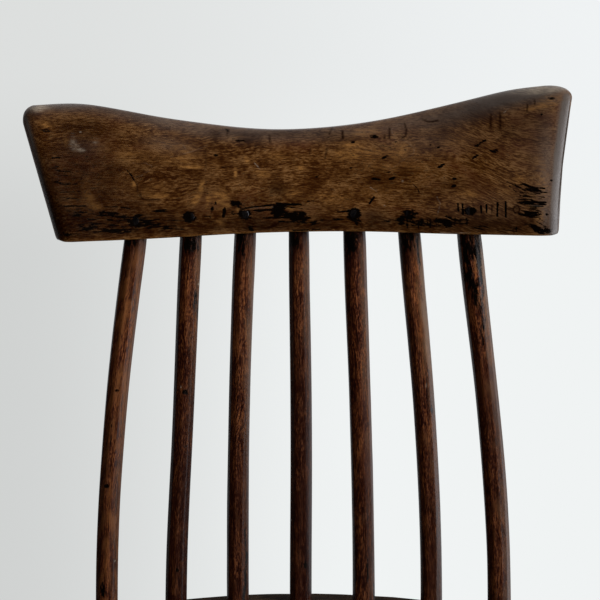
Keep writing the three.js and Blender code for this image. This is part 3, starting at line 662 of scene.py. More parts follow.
top_places = np.linspace(comb_low[0] + comb_tip_clear, comb_high[0] - comb_tip_clear, comb_top_cuts)
comb_top = evened(top_places, [comb_edges_at(x)[1] for x in top_places])
left_levels, right_levels = comb_end_levels(comb_left_measured), comb_end_levels(comb_right_measured)
comb_left = evened(left_levels, [comb_ends_at(z)[0] for z in left_levels])
right_bow = comb_right_hollow * np.sin(np.linspace(0, np.pi, comb_end_cuts))
comb_right = evened(right_levels, [comb_ends_at(z)[1] for z in right_levels] - right_bow)
foot_from, foot_to = (end(comb_foot_height) for end in (comb_left, comb_right))
foot_places = np.linspace(foot_from + comb_tip_clear, foot_to - comb_tip_clear, comb_foot_cuts)
comb_foot = evened(foot_places, [comb_edges_at(x)[0] for x in foot_places])
print("comb from", round(float(foot_from), 4), "to", round(float(foot_to), 4))

# %% [markdown]
# The section of the comb is a rectangle with four rounded corners. It is carried from the left end
# to the right end, leaning to match each end, and near the ends it draws in so that the tips are
# soft to the hand. The front face gets most of the points, because the marks of age are on it.

# %% Rounded section
def rounded_section(low, high, half_at, rounds, counts):
    """Walks round a rectangle with rounded corners: up the front, over the top, down the back and home.

    A wall runs straight between its corners, and a corner of radius r has drawn in by r (1 - cos b) and
    up or down by r (1 - sin b). Rows give low and high as columns (rows, 1), and the result is
    (across, height), each of shape (rows, all points)."""
    foot_front, top_front, top_back, foot_back = rounds
    front_count, back_count, corner_count, flat_count = counts
    bend = np.linspace(0, np.pi / 2, corner_count, endpoint=False)

    def wall(side, start, end, count):
        """Half the thickness to one side, at even heights from start to end."""
        up = start + (end - start) * np.linspace(0, 1, count, endpoint=False)
        return side * half_at(up), up

    def corner(side, level, way, r, b):
        """A quarter circle of radius r that meets a level, above the wall or below it."""
        up = level - way * r * (1 - np.sin(b))
        return side * (half_at(up) - r * (1 - np.cos(b))), up

    def flat(level, start, end):
        """Even distances across from start to end, at one level."""
        across = start + (end - start) * np.linspace(0, 1, flat_count, endpoint=False)
        return across, level + 0 * across

    parts = [
        wall(-1, low + foot_front, high - top_front, front_count),
        corner(-1, high, 1, top_front, bend),
        flat(high, top_front - half_at(high), half_at(high) - top_back),
        corner(1, high, 1, top_back, np.pi / 2 - bend),
        wall(1, high - top_back, low + foot_back, back_count),
        corner(1, low, -1, foot_back, bend),
        flat(low, half_at(low) - foot_back, foot_front - half_at(low)),
        corner(-1, low, -1, foot_front, np.pi / 2 - bend),
    ]
    across, up = zip(*(np.broadcast_arrays(*part) for part in parts))
    return np.concatenate(across, axis=1), np.concatenate(up, axis=1)


# %% [markdown]
# The left end of the comb has a tight edge and the right end a broad, rolled one, which catches the
# light from the window. Both tips are rubbed round by hands, and the foot keeps a crisp edge.

# %% Comb surface
comb_stations = 478
comb_end_stations = 18
comb_counts = (146, 18, 8, 3)
comb_left_round = 0.009
comb_right_round = 0.0165
comb_end_flat_share = 0.12
comb_left_tip = (0.0155, 0.0155)
comb_right_tip = (0.023, 0.0125)
comb_foot_corner = 0.003
comb_foot_round = 0.0028
comb_top_front_round = 0.0085
comb_top_back_round = 0.006
comb_near_reach = 1.3
comb_top_tries = 5
comb_box_margin = 0.0002
comb_round_room = 0.9


def comb_grid():
    """Stations run from end to end at a distance from the tips, and each carries the rounded section.

    Near a tip they lie at 1.3 r (1 - cos t), and x = left + (right - left) share. The top depends on x
    and x on the height, so a few tries settle both. Gives x, the height and the distance across."""
    near = comb_near_reach * (1 - np.cos(np.linspace(0, np.pi / 2, comb_end_stations)))
    inner = comb_stations - 2 * comb_end_stations
    share = np.linspace(0, 1, inner + 2)[1:-1]
    end_round = comb_left_round + (comb_right_round - comb_left_round) * share
    from_tip = np.concatenate([
        near * comb_left_round, comb_near_reach * end_round, near[::-1] * comb_right_round,
    ])
    end_round = np.concatenate([0 * near + comb_left_round, end_round, 0 * near + comb_right_round])
    from_tip, end_round = from_tip[:, None], end_round[:, None]
    share = np.concatenate([0 * near, share, 0 * near + 1])[:, None]

    def station_x(z):
        """left + (right - left) share, with both ends taken at the height z."""
        left, right = comb_left(z) + from_tip, comb_right(z) - from_tip
        return left + (right - left) * share

    high = comb_foot_height + 0 * share
    for _ in range(comb_top_tries):
        high = comb_top(station_x(high))
    tip_length, tip_depth = (
        left + (right - left) * share for left, right in zip(comb_left_tip, comb_right_tip)
    )
    high = np.minimum(high - drawn_in(from_tip, tip_length, tip_depth), comb_high[2] - comb_box_margin)
    low = comb_foot(station_x(comb_foot_height)) + drawn_in(from_tip, comb_foot_corner)
    drawn_share = (1 - comb_end_flat_share) * drawn_in(from_tip, end_round) / end_round

    def half_at(z):
        """Half of the thickness at a height, less the share that the rounded end has drawn in."""
        return comb_half_thickness(z) * (1 - drawn_share)

    room = comb_round_room * half_at(high)
    foot_round = np.minimum(comb_foot_round, comb_round_room * half_at(low))
    top_rounds = (np.minimum(comb_top_front_round, room), np.minimum(comb_top_back_round, room))
    rounds = (foot_round, *top_rounds, foot_round)
    across, z = rounded_section(low, high, half_at, rounds, comb_counts)
    return station_x(z), z, across


# %% [markdown]
# The board was sawn from a bent branch, so near the right end its grain swings up. The straightened
# place in the wood swings with it. Then a plane has gone over both faces: they roll by a third of a
# millimetre, in long waves with shorter ones on top.

# %% Grain and hand work of the comb
comb_swirl_start = 0.155
comb_swirl_length = 0.028
comb_swirl_depth = 0.011
comb_hand_work = 0.00035
comb_roll_length, comb_short_roll_length = 0.085, 0.030

comb_x, comb_z, comb_across = comb_grid()
comb_swirl = comb_swirl_depth * np.tanh((comb_x - comb_swirl_start) / comb_swirl_length)
comb_wood = np.stack([comb_x, comb_z - comb_foot_height + comb_swirl, comb_across], axis=-1)
comb_roll = rolling(comb_wood, comb_roll_length, 11) + 0.4 * rolling(comb_wood, comb_short_roll_length, 12)
comb_rolled = comb_across + np.sign(comb_across) * comb_hand_work * comb_roll
comb_points = on_comb(comb_x, comb_z, comb_rolled)
comb_u, comb_v = shown_at(comb_points)
print("comb grid", comb_points.shape[:2])

# %% [markdown]
# Wear is what makes this comb old. It is darker along its foot, from grime and painted shade, and
# darker at its left end; hands have rubbed it golden elsewhere, and the top edge is dusty grey with
# a painted sheen. These broad shades are laid on as soft ovals, placed by where they show in the
# picture: middle u and v, half sizes, turn in degrees, strength. Two lines of strokes follow the
# ends, a painted reflection down the left end and a painted highlight down the right one, where the
# rounded edge looks grey against the light.

# %% Broad shades of the comb
# Dark ovals: darker wood, and painted shade, most of it in the long band along the foot.
comb_dark_and_shade_spots = [
    (300, 228, 330, 15, 0, 0.6), (85, 226, 66, 18, 0, 0.82), (60, 196, 54, 34, 0, 0.6),
    (80, 160, 54, 34, 0, 0.5), (180, 176, 80, 44, 0, 0.3), (60, 120, 60, 16, 0, 0.25),
    (88, 128, 40, 9, 12, 0.4), (52, 200, 14, 46, -14, 0.5), (150, 222, 50, 12, 0, 0.5),
    (215, 138, 6, 13, 8, 0.45), (252, 142, 16, 8, 0, 0.35), (332, 137, 12, 8, 0, 0.35),
    (478, 113, 46, 13, -16, 0.45), (500, 224, 44, 12, 0, 0.5), (120, 112, 50, 4, 8, 0.35),
    (430, 224, 46, 9, 0, 0.45), (70, 150, 24, 16, 0, 0.4), (85, 168, 44, 9, 0, 0.3),
    (277, 190, 13, 9, 0, 0.65), (452, 184, 22, 8, 0, 0.35), (232, 206, 34, 8, 0, 0.45),
    (258, 225, 40, 10, 0, 0.65), (373, 217, 13, 8, 0, 0.5), (373, 229, 14, 5, 0, 0.4),
    (323, 225, 16, 9, 0, 0.5), (205, 192, 12, 7, 0, 0.3), (109, 192, 12, 7, 0, 0.4),
    (420, 193, 26, 8, 0, 0.25), (505, 132, 26, 9, 0, 0.4), (528, 120, 22, 8, 0, 0.3),
    (278, 133, 24, 5, 0, 0.55), (314, 132, 20, 4, 0, 0.35), (232, 133, 22, 5, 5, 0.3),
    (70, 140, 26, 14, 0, 0.3), (132, 205, 24, 9, 0, 0.4), (300, 206, 30, 8, 0, 0.4),
    (110, 190, 40, 24, 0, 0.3), (360, 180, 40, 12, 0, 0.15), (109, 216, 6, 5, 0, 0.6),
    (145, 223, 9, 5, 0, 0.6), (170, 221, 4, 7, 0, 0.6), (68, 216, 4, 7, 0, 0.5),
    (85, 220, 9, 8, 0, 0.5), (110, 235, 5, 3, 0, 0.5), (190, 214, 8, 4, 0, 0.4),
    (530, 199, 12, 9, 0, 0.3), (77, 128, 12, 4, 0, 0.35), (96, 122, 14, 4, 6, 0.35),
    (516.5, 209.5, 3.4, 3.2, 0, 0.5), (254, 220, 12, 11, 0, 0.5), (277, 229, 14, 5, 0, 0.5),
    (325, 228, 12, 5, 0, 0.5), (373, 215, 9, 6, 0, 0.4),
]
# Grey ovals: dusty wood and a painted sheen, along the top edge and down the right end.
comb_dust_and_sheen_spots = [
    (480, 107, 66, 11, -17, 0.7), (430, 142, 50, 14, -5, 0.25), (410, 122, 40, 6, -12, 0.35),
    (345, 132, 50, 5, -3, 0.25), (75, 103, 40, 4, 0, 0.4), (150, 119, 70, 7, 12, 0.45),
    (250, 134, 70, 7, 3, 0.4), (530, 140, 30, 60, 0, 0.15), (490, 210, 60, 20, 0, 0.15),
    (83, 147, 16, 9, 10, 0.3), (28, 130, 4, 30, -14, 0.5), (62, 106, 34, 6, 0, 0.5),
    (548, 88, 26, 4, 0, 0.6), (548, 160, 12, 50, 0, 0.4), (546, 175, 9, 40, 0, 0.3),
    (522, 95, 46, 8, -8, 0.75), (169, 144, 26, 8, 10, 0.35), (34, 108, 10, 5, 0, 0.5),
    (546, 218, 6, 16, 0, 0.65), (550, 99, 14, 6, 0, 0.4),
]
# A painted reflection down the left end, and a painted highlight down the right end.
comb_left_reflection_line = curve(2.4, 0.9, (25.5, 118), (38.3, 165), (46.5, 196.7), (57, 234))
comb_right_highlight_line = [
    *curve(7.5, 1.5, (566.4, 114), (560.6, 155), (557, 205), (556, 236)),
    (567, 104, 566.4, 114, 7.5, 1.2), (567, 97, 567, 104, 7.5, 0.9),
]
comb_gold_spots = [
    (183, 158, 24, 9, 0, 0.45), (192, 167, 13, 1.8, 3, 0.9), (195.5, 199, 4.4, 6, 20, 1.1),
    (201.5, 187, 2.8, 8, 14, 1), (235.4, 173, 2.2, 6, 0, 0.75), (246.6, 160, 4, 3, 50, 0.75),
    (220, 198, 11, 9, 0, 0.8), (208, 200, 2.4, 10, 10, 0.8), (226, 206, 9, 3, -20, 0.9),
    (220, 223, 6, 3, 30, 0.9), (238, 210, 3, 2.6, 0, 0.9), (289, 208.4, 5, 1.8, 15, 1.1),
    (292, 193, 12, 6, 0, 0.5), (300, 168, 6, 3, 0, 0.6), (264, 174, 12, 5, 10, 0.5),
    (234, 137, 12, 3, 0, 0.5), (360, 132, 10, 4, 0, 0.6), (342, 155, 8, 3, 0, 0.4),
    (402, 146, 12, 14, 20, 0.45), (45, 124.5, 8, 3.4, 14, 0.95), (66, 142, 3, 8, 0, 0.6),
    (134, 184, 2.6, 3.6, 0, 0.9), (89, 196, 7, 17, -28, 0.62), (97, 207, 7, 3.4, 0, 0.7),
    (122, 184, 16, 12, 0, 0.35), (156, 190, 20, 9, 0, 0.4), (158, 196.5, 16, 2, 0, 0.7),
    (130, 156, 34, 12, 10, 0.4), (540, 106, 18, 3.6, -12, 0.7), (549, 98, 12, 7, -4, 0.7),
    (505, 193, 14, 6, 20, 0.4), (470, 195, 24, 6, 0, 0.2), (530, 207, 10, 2, 0, 0.6),
    (444, 160, 32, 14, 0, 0.2), (375, 190, 50, 9, 0, 0.25), (365, 154, 46, 9, -4, 0.45),
    (350, 144, 16, 6, 0, 0.5), (374, 132, 9, 5, 0, 0.5), (277, 156, 14, 6, 0, 0.45),
    (469, 193, 14, 6, 0, 0.35), (517, 180, 12, 6, 0, 0.35), (390, 168, 40, 6, 0, 0.3),
    (169, 144, 26, 7, 10, 0.4), (455, 141, 20, 7, 0, 0.35), (532, 180, 18, 8, 0, 0.3),
    (540, 163, 8, 14, 0, 0.4), (543, 190, 7, 26, 0, 0.5), (541, 218, 7, 10, 0, 0.8),
    (330, 200, 26, 9, 0, 0.4), (40, 110, 10, 4, 0, 0.5), (175, 133, 14, 3, 10, 0.35),
]
comb_fleck_spots = [(395, 165, 60, 34, 0, 0.6), (80, 190, 44, 44, 0, 0.7), (240, 200, 70, 22, 0, 0.4)]
print("dark, grey and golden places:", len(comb_dark_and_shade_spots), len(comb_dust_and_sheen_spots), len(comb_gold_spots))

# %% [markdown]
# Next come the marks that an eye would pick out: burns and stains near the foot, a row of short
# nicks, cracks, a pale smudge, painted highlights on the rims of both tips, and fine scratches. A
# stroke gives its two ends, half width and strength, and a curve is a stroke with several corners.

# %% Stains and nicks of the comb
comb_stain_spots = [
    (279, 208.5, 6.5, 4, 0, 1.3), (284, 214.4, 12, 2.4, 2, 1.2), (298, 217, 8, 4, 0, 1.2),
    (265, 210.4, 12, 1.6, -3, 0.8), (287, 204.3, 13, 1.3, 2, 0.9), (314, 223, 12, 4, 0, 0.5),
    (232, 203, 4, 4, 0, 0.6), (108, 214, 10, 4, 0, 0.8), (132, 219, 18, 6, 0, 0.6),
    (150, 224, 14, 4, 0, 0.6), (160, 211, 12, 1.8, -6, 0.85), (80, 213, 14, 6, 0, 0.55),
    (90, 227, 18, 6, 0, 0.55), (66, 234, 16, 4, 0, 0.5), (120, 231, 20, 4, 0, 0.6),
    (170, 229, 20, 4, 0, 0.5), (238.5, 203.5, 3.4, 3.4, 0, 0.9), (224, 212, 1.8, 6, 8, 1),
    (212, 209, 1.8, 5, 15, 0.8), (216, 205, 1.4, 4, -10, 0.7), (233, 213, 2.6, 1.8, 20, 0.9),
    (251.5, 228.5, 3.4, 2.6, 30, 0.95), (208, 216.5, 10, 1.4, 8, 0.5), (356, 220, 5, 3, 50, 0.8),
    (412.6, 213.4, 5, 2, 0, 0.9), (374, 136.4, 4.6, 2, 4, 1), (352, 142.2, 3.4, 1.4, -8, 0.9),
    (375.6, 179.4, 5, 1.8, 10, 0.95), (392, 178.3, 3.6, 1.7, -25, 0.9), (385, 157, 4.4, 1.5, -24, 0.85),
    (388.5, 172, 3.4, 1.3, 0, 0.6), (317, 176.8, 3.2, 1.3, -25, 0.8), (350.7, 168, 3, 1.1, -20, 0.7),
    (430, 145, 1.6, 1.4, 0, 0.7), (438, 147.7, 2.4, 1.3, -20, 0.8), (441, 166, 4.2, 1.5, -28, 1),
    (484, 141, 3.2, 1.3, -20, 0.9), (478, 144.8, 4, 1.6, -28, 1), (498.5, 139, 3.8, 1, 8, 0.7),
    (493.8, 150.8, 5.6, 2.1, 4, 1), (475.3, 156.8, 4.2, 1.5, -28, 1), (454.3, 178.4, 2.2, 2, 0, 1),
    (453.8, 186, 3, 1.3, -18, 1), (551.7, 98.3, 4.4, 1.5, 0, 0.9), (542.5, 114.3, 2.6, 1.2, -45, 0.9),
    (551.2, 180.2, 1.5, 1.5, 0, 0.8), (547.4, 214.7, 1.5, 1.5, 0, 0.9), (534, 190, 9, 3.4, 18, 0.95),
    (524, 184, 6, 1.6, 25, 0.6), (531, 202.6, 13, 1.7, 0, 1.3), (530, 213.8, 10.5, 2, 0, 0.95),
    (532, 208, 10, 1.2, 0, 0.6), (448.5, 222, 3.6, 6.4, 0, 1), (440, 222, 5, 3.6, 0, 0.8),
    (422, 221.5, 6, 4.6, 0, 0.95), (401, 220.5, 4, 5, 0, 0.9), (389, 221, 10, 2.6, 0, 0.6),
    (411, 222, 4, 3, 0, 0.6), (431, 222.6, 4, 2.4, 0, 0.7), (458, 222, 6, 2.4, 0, 0.6),
    (544, 231, 8, 3, -8, 1.1), (536, 227.5, 8, 2.6, 30, 0.75), (526, 224, 8, 1.4, 28, 0.5),
    (470.6, 210.6, 4.4, 3.4, 0, 0.8), (47, 131, 9, 1.6, 4, 0.7), (56, 157.6, 8, 1.1, -3, 0.8),
    (57, 168, 7, 3, 0, 0.5), (60, 182, 8, 3, 0, 0.5), (241, 141, 7, 1.6, 2, 0.6),
    (227, 130, 7, 2, 10, 0.5), (216, 155, 3, 2.2, 0, 0.6), (225, 168, 8, 4, 0, 0.35),
    (480, 228, 14, 3.4, 0, 0.5), (510, 229, 16, 3.4, 0, 0.5), (335, 219, 14, 2, 0, 0.5),
    (500, 183, 5, 1, 30, 0.5), (333, 191, 5, 3, 0, 0.45), (360, 199, 30, 1.2, 0, 0.4),
    (150, 205, 5, 3, 0, 0.4), (252, 176, 8, 4, 0, 0.35),
]
comb_stain_strokes = [
    *curve(0.8, 0.85, (126, 169.5), (130.5, 174), (134, 180)), (457.8, 204, 458.4, 211, 0.8, 1.1),
    (462.4, 204.5, 462.8, 213.8, 0.8, 1.2), (481, 206, 481.2, 213, 0.8, 1),
    (486.4, 205, 486.8, 212.5, 0.8, 1.1), (497.6, 203, 497.2, 216, 0.8, 1.2),
    (505.6, 202, 505.8, 217, 0.8, 1.2),
    *curve(0.9, 0.9, (246, 208), (256, 206.6), (265, 206), (274, 204.6)),
    (277, 203.6, 301, 204.8, 1.1, 1), (286, 207, 302, 208.4, 0.7, 0.7),
    (307, 201.2, 319, 200.8, 0.6, 0.7), (263, 218, 289, 217.4, 0.9, 1),
    (279, 221.6, 303, 222, 0.8, 0.95), (300, 216.4, 310, 217.6, 0.9, 0.9),
    (293, 230.4, 320, 229.4, 0.7, 0.8), (254, 210.4, 276, 209.6, 1.0, 0.8),
    (337, 211.6, 349, 211.2, 0.8, 0.7), (354, 219, 357, 225, 0.9, 0.9), (358, 219, 362, 223, 0.9, 0.9),
    (360, 223, 361.6, 228, 0.6, 0.7), (506, 181, 516, 186, 0.7, 0.5),
    (515.5, 185.5, 526, 191, 0.9, 0.7), (509, 186, 522, 197, 0.7, 0.5), (514, 184, 530, 186, 0.6, 0.4),
    (520, 196, 538, 193, 0.7, 0.4), (517, 203, 545.5, 202.2, 0.9, 0.8),
    (524, 199.4, 543, 198.6, 0.7, 0.5), (521, 210.6, 540, 210, 0.7, 0.5),
    *curve(1.1, 0.8, (519, 214), (526, 216), (534, 216), (540, 214)), (526, 206, 543, 206.4, 0.6, 0.4),
    (406, 219.6, 462, 220.6, 0.6, 0.4), (412, 217, 412, 224, 0.9, 0.6),
    (427, 217, 427.4, 225, 1.0, 0.7), (436, 218, 436, 226, 0.8, 0.6),
    (466.5, 218.5, 467.3, 224.5, 0.9, 0.6), (520, 192.5, 536, 194, 0.8, 0.8),
    (526, 186, 545, 188.5, 0.8, 0.8), (524, 189.5, 546, 192.5, 0.8, 0.7),
    (516, 199.5, 532, 200, 0.7, 0.7), (520, 206.2, 541, 206, 0.7, 0.7),
    (519, 203.8, 546, 204.6, 0.8, 0.8), (524, 212, 542, 211.5, 0.7, 0.7),
    (526, 217.5, 540, 217, 0.7, 0.6), (523, 196.4, 545, 197, 0.7, 0.7),
    (401, 217.6, 430, 218.4, 0.8, 0.8), (412, 225.4, 452, 226, 0.8, 0.7),
    (436, 219.4, 468, 220.2, 0.8, 0.8), (440, 224.6, 466, 223.6, 0.8, 0.7),
    (407, 214, 407.4, 228, 0.9, 0.8), (418, 216, 418.4, 228, 0.8, 0.7), (430, 217, 430, 228, 0.8, 0.7),
    (446, 216, 446.3, 228, 0.9, 0.8), (455, 217, 455, 226, 0.8, 0.7), (536, 221, 546, 227, 0.8, 0.6),
    (540, 219, 549, 225, 0.7, 0.5), (516.5, 227, 516.4, 232.5, 0.8, 0.7),
    *curve(0.9, 0.8, (374, 197), (371.6, 200.5), (369.4, 203.5)),
    *curve(0.6, 0.7, (413, 184), (417, 188), (419, 192)), (58, 171, 73, 172.5, 0.7, 0.6),
    (58, 176, 68, 175.5, 0.6, 0.6), (60, 184, 78, 184.5, 0.7, 0.65), (60, 192.5, 80, 192, 0.8, 0.7),
    (62, 198, 78, 198.5, 0.6, 0.55), (64, 206, 86, 206, 0.8, 0.7),
    *curve(0.7, 0.7, (104, 206.6), (118, 206.8), (130, 208.6)), (88, 219, 112, 220, 0.8, 0.7),
    (96, 224, 130, 226, 0.8, 0.6), (140, 227, 176, 226, 0.7, 0.6), (150, 219, 186, 221, 0.7, 0.5),
]
comb_ring_corners = ((513, 209.5), (514.5, 206.5), (518, 206), (520, 209), (518.5, 212.5), (515, 213))
comb_dark_strokes = [
    *curve(0.8, 0.8, (134, 180), (137, 184), (137.4, 192)),
    *curve(0.8, 0.9, (140, 193), (141.5, 198), (146, 199.7), (160, 199.6)),
    *curve(0.8, 0.8, (75, 184), (80, 181), (83, 175), (85, 169)),
    *curve(0.7, 0.4, (138, 178), (143, 172), (151, 167), (160, 165)), (60, 158, 72, 156.5, 0.9, 0.6),
    (457, 209, 470, 209.6, 0.8, 0.8), (492.2, 205.4, 491.8, 213, 0.9, 1),
    (507, 208.6, 513, 208.6, 0.8, 1),
    *curve(0.8, 1, *comb_ring_corners, comb_ring_corners[0]),
    (269.8, 136, 269.8, 142, 1.2, 0.75), (227.5, 130, 227, 135.5, 1.2, 0.6),
    (332.6, 127, 329, 134, 1.0, 0.75), (342.6, 131, 342.8, 137.8, 1.5, 0.9),
    (389.6, 128, 389.3, 138, 1.1, 0.85), (384.8, 135, 384.6, 138.8, 1, 0.75),
    *curve(1.0, 0.9, (404.6, 123.8), (406.4, 129.5), (405.6, 136), (402, 138)),
    *curve(1.0, 0.85, (423, 119.8), (428, 121.6), (433, 121.6), (438, 120.4)),
    (310.5, 148, 309.6, 154, 0.8, 0.6), (327, 148, 325, 158.6, 0.9, 0.75),
    (205.8, 149, 206, 168, 0.8, 0.5), (491, 115, 490.7, 127, 1.2, 0.85),
    (500, 112.5, 500.4, 127, 1.3, 0.9), (534.6, 100, 534.7, 104.3, 0.9, 0.85),
    (527.5, 104.6, 527, 111.5, 0.9, 0.8),
]
# Pale ovals: smudges and nicks, and painted highlights on the top rims of both tips.
comb_pale_and_highlight_spots = [
    (74.5, 146, 5.4, 4.4, 35, 0.6), (80.5, 149.8, 5.4, 2.2, 6, 0.55), (73, 137, 4, 5, 0, 0.25),
    (95, 142, 4, 5, 20, 0.3), (80.5, 132, 0.9, 0.9, 0, 0.7), (384.6, 205.4, 1.2, 0.8, 30, 0.7),
    (402.6, 181, 1.2, 1.3, 0, 0.6), (38, 108, 12, 4.4, -8, 0.7), (540, 90, 30, 5, -3, 0.75),
]
comb_scratch_corners = (
    (391, 130), (393.4, 135), (401.4, 139.5), (408, 142.4), (413.8, 148), (413.8, 153), (409, 156.8),
)
comb_pale_strokes = [
    *curve(0.7, 0.6, (254.4, 163), (257, 165.6), (259.6, 169)), (504, 112.6, 508.8, 107.8, 0.6, 0.5),
    *curve(0.7, 0.3, *comb_scratch_corners),
    *curve(0.6, 0.25, (409, 156.8), (401, 161.6), (389, 170.4)),
    *curve(0.6, 0.25, (391, 130), (396, 125.5), (402, 122.8)),
    *curve(0.6, 0.3, (170, 157), (190, 152), (200, 148.5), (208, 144.5)),
    (183, 145, 186, 149, 0.6, 0.3),
    *curve(0.6, 0.4, (437, 197), (440, 203), (439.6, 207), (437.4, 214)),
    (370, 187, 377, 192, 0.6, 0.4), *curve(0.6, 0.3, (133, 163), (145, 163), (152, 166)),
    *curve(0.6, 0.3, (138, 179), (143, 174), (149, 171)), (250, 208.4, 273, 207, 0.6, 0.35),
    (528, 205.5, 541, 206, 0.6, 0.35), (440, 232.4, 470, 233, 0.6, 0.4),
]
print("stains and black strokes:", len(comb_stain_spots), len(comb_stain_strokes))

# %% [markdown]
# The painted marks belong to the front face. The other faces get marks by chance instead, from the
# slow waves above. Three more things follow the shape itself: the sharp foot is rubbed bare and
# golden, a dusty grey with a painted sheen lies on the rounded top, and around each peg the wood is
# stained by the pin.

# %% Finish of the comb
foot_rim_height = 0.0022
top_dust_and_sheen_height = 0.008
comb_nose_fade = 0.005
peg_names = [f"comb_peg_{i}" for i in range(1, 8)]
peg_cap_depth = 0.0022
peg_halo_size = (6.2, 5.4)
peg_halo_strengths = (1.1, 1.5, 1.5, 1.4, 1.5, 1.0, 0.8)
comb_stain_gain, comb_ink_gain = 1.1, 1.35
foot_rim_gold, foot_rim_clearing, top_dust_and_sheen_grey = 0.5, 0.7, 0.35
comb_front_fleck, comb_rear_fleck, comb_rear_dark = 0.25, 0.3, 0.2
comb_chance_length, comb_chance_strength = 0.05, 0.4


def peg_front(name):
    """Middle of the front cap: the mean of the points that lie within its depth of the foremost one."""
    points = edges_of(name).reshape(-1, 3)
    return points[points[:, 1] < points[:, 1].min() + peg_cap_depth].mean(0)


peg_shown = [tuple(float(c) for c in shown_at(peg_front(name))) for name in peg_names]


def front_finish(rim, dust_and_sheen):
    """Stain, gold, pale of scuffs and painted highlights, dark with painted shade, grey of dusty wood
    and painted sheen, and fleck of the front face, from its lists of marks.
    """
    halos = [(*place, *peg_halo_size, 0, s) for place, s in zip(peg_shown, peg_halo_strengths)]
    stain = joined(spots(comb_u, comb_v, comb_stain_spots), spots(comb_u, comb_v, halos))
    inked = comb_ink_gain * strokes(comb_u, comb_v, comb_stain_strokes)
    gold = joined(spots(comb_u, comb_v, comb_gold_spots), foot_rim_gold * rim)
    pale = np.maximum(spots(comb_u, comb_v, comb_pale_and_highlight_spots), strokes(comb_u, comb_v, comb_pale_strokes))
    dark = spots(comb_u, comb_v, comb_dark_and_shade_spots) * (1 - foot_rim_clearing * rim)
    dark = joined(dark, strokes(comb_u, comb_v, comb_dark_strokes))
    grey = joined(spots(comb_u, comb_v, comb_dust_and_sheen_spots), top_dust_and_sheen_grey * dust_and_sheen)
    fleck = comb_front_fleck + spots(comb_u, comb_v, comb_fleck_spots)
    return np.maximum(comb_stain_gain * stain, inked), gold, pale, dark, grey, fleck


def comb_finish_marks():
    """Front where across < 0 and chance behind it, as stain, gold and pale, then dark, grey and fleck.
    The pale holds scuffs and painted highlights, the dark holds painted shade too, and the grey holds
    dusty wood and painted sheen.

    The rim, and the top band of dusty grey and painted sheen, are exp(-(gap / height)^2), with the gap
    to the foot and to the top."""
    rim = np.exp(-(((comb_z - comb_foot(comb_x)) / foot_rim_height) ** 2))
    dust_and_sheen = np.exp(-(((comb_top(comb_x) - comb_z) / top_dust_and_sheen_height) ** 2))
    front = list(front_finish(rim, dust_and_sheen))
    # The painted reflection of the left end and the painted highlight of the right end join the grey.
    nose = np.clip(0.5 - comb_across / comb_nose_fade, 0, 1)
    left_reflection = strokes(comb_u, comb_v, comb_left_reflection_line) * nose
    front[4] = np.maximum(front[4], strokes(comb_u, comb_v, comb_right_highlight_line) * nose + left_reflection)
    chance = [
        np.clip(comb_chance_strength * rolling(comb_wood, comb_chance_length, seed), 0, 1)
        for seed in (21, 22, 23, 24)
    ]
    behind = [
        0.6 * chance[0], chance[1], 0 * chance[0],
        joined(comb_rear_dark, chance[2]), 0.5 * chance[3], comb_rear_fleck + chance[0],
    ]
    # Behind, the right half keeps the front's grey with its painted sheen and highlight, and the left end
    # its painted reflection.
    behind[4] = np.maximum(behind[4], np.where(comb_x > 0, front[4], left_reflection))
    layers = [np.where(comb_across < 0, *pair) for pair in zip(front, behind)]
    return np.stack(layers[:3], axis=-1), np.stack(layers[3:], axis=-1)


comb = skin("comb_board", comb_points, comb_wood, *comb_finish_marks())
hand_over(comb, comb_finish, "comb_wood", "comb")

# %% [markdown]
# A stick is split from the log and shaved round with a knife, so it is never a true cylinder: it has
# long narrow flats that wander round it. Level cuts through the solid give its middle line and its
# half widths, smooth lines join them, and a polygon mixed into each ring gives the flats.

# %% Shaved rounds
rod_turn_radius = 0.1
flat_wander, flat_wander_length, flat_lean = 0.22, 0.55, 0.35
rod_roll_length, rod_roll_seed = 0.09, 50
wood_step_along, wood_step_across = 0.61, 0.13


def measured_rod(name, axis, cuts, clear=0.0006):
    """Middle line and half widths of a long piece, cut square to an axis, as smooth lines."""
    low, high = (np.array(corner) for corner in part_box(name))
    levels = np.linspace(low[axis] + clear, high[axis] - clear, cuts)
    sections = [saw_cut(name, np.eye(3)[axis], level) for level in levels]
    lows = np.array([section.min(0) for section in sections])
    highs = np.array([section.max(0) for section in sections])
    middle = [evened(levels, column) for column in ((lows + highs) / 2).T]
    half = [evened(levels, column) for column in ((highs - lows) / 2).T]
    return low[axis], high[axis], middle, half


def flats(angle, sides, share):
    """Shaved flats: 1 - share (1 - cos(pi/n) / cos(a mod 2 pi/n - pi/n)), evened to a mean of 1."""
    step = 2 * np.pi / sides
    radius = 1 - share * (1 - np.cos(step / 2) / np.cos(np.mod(angle, step) - step / 2))
    return radius * (1 + share * step**2 / 12)


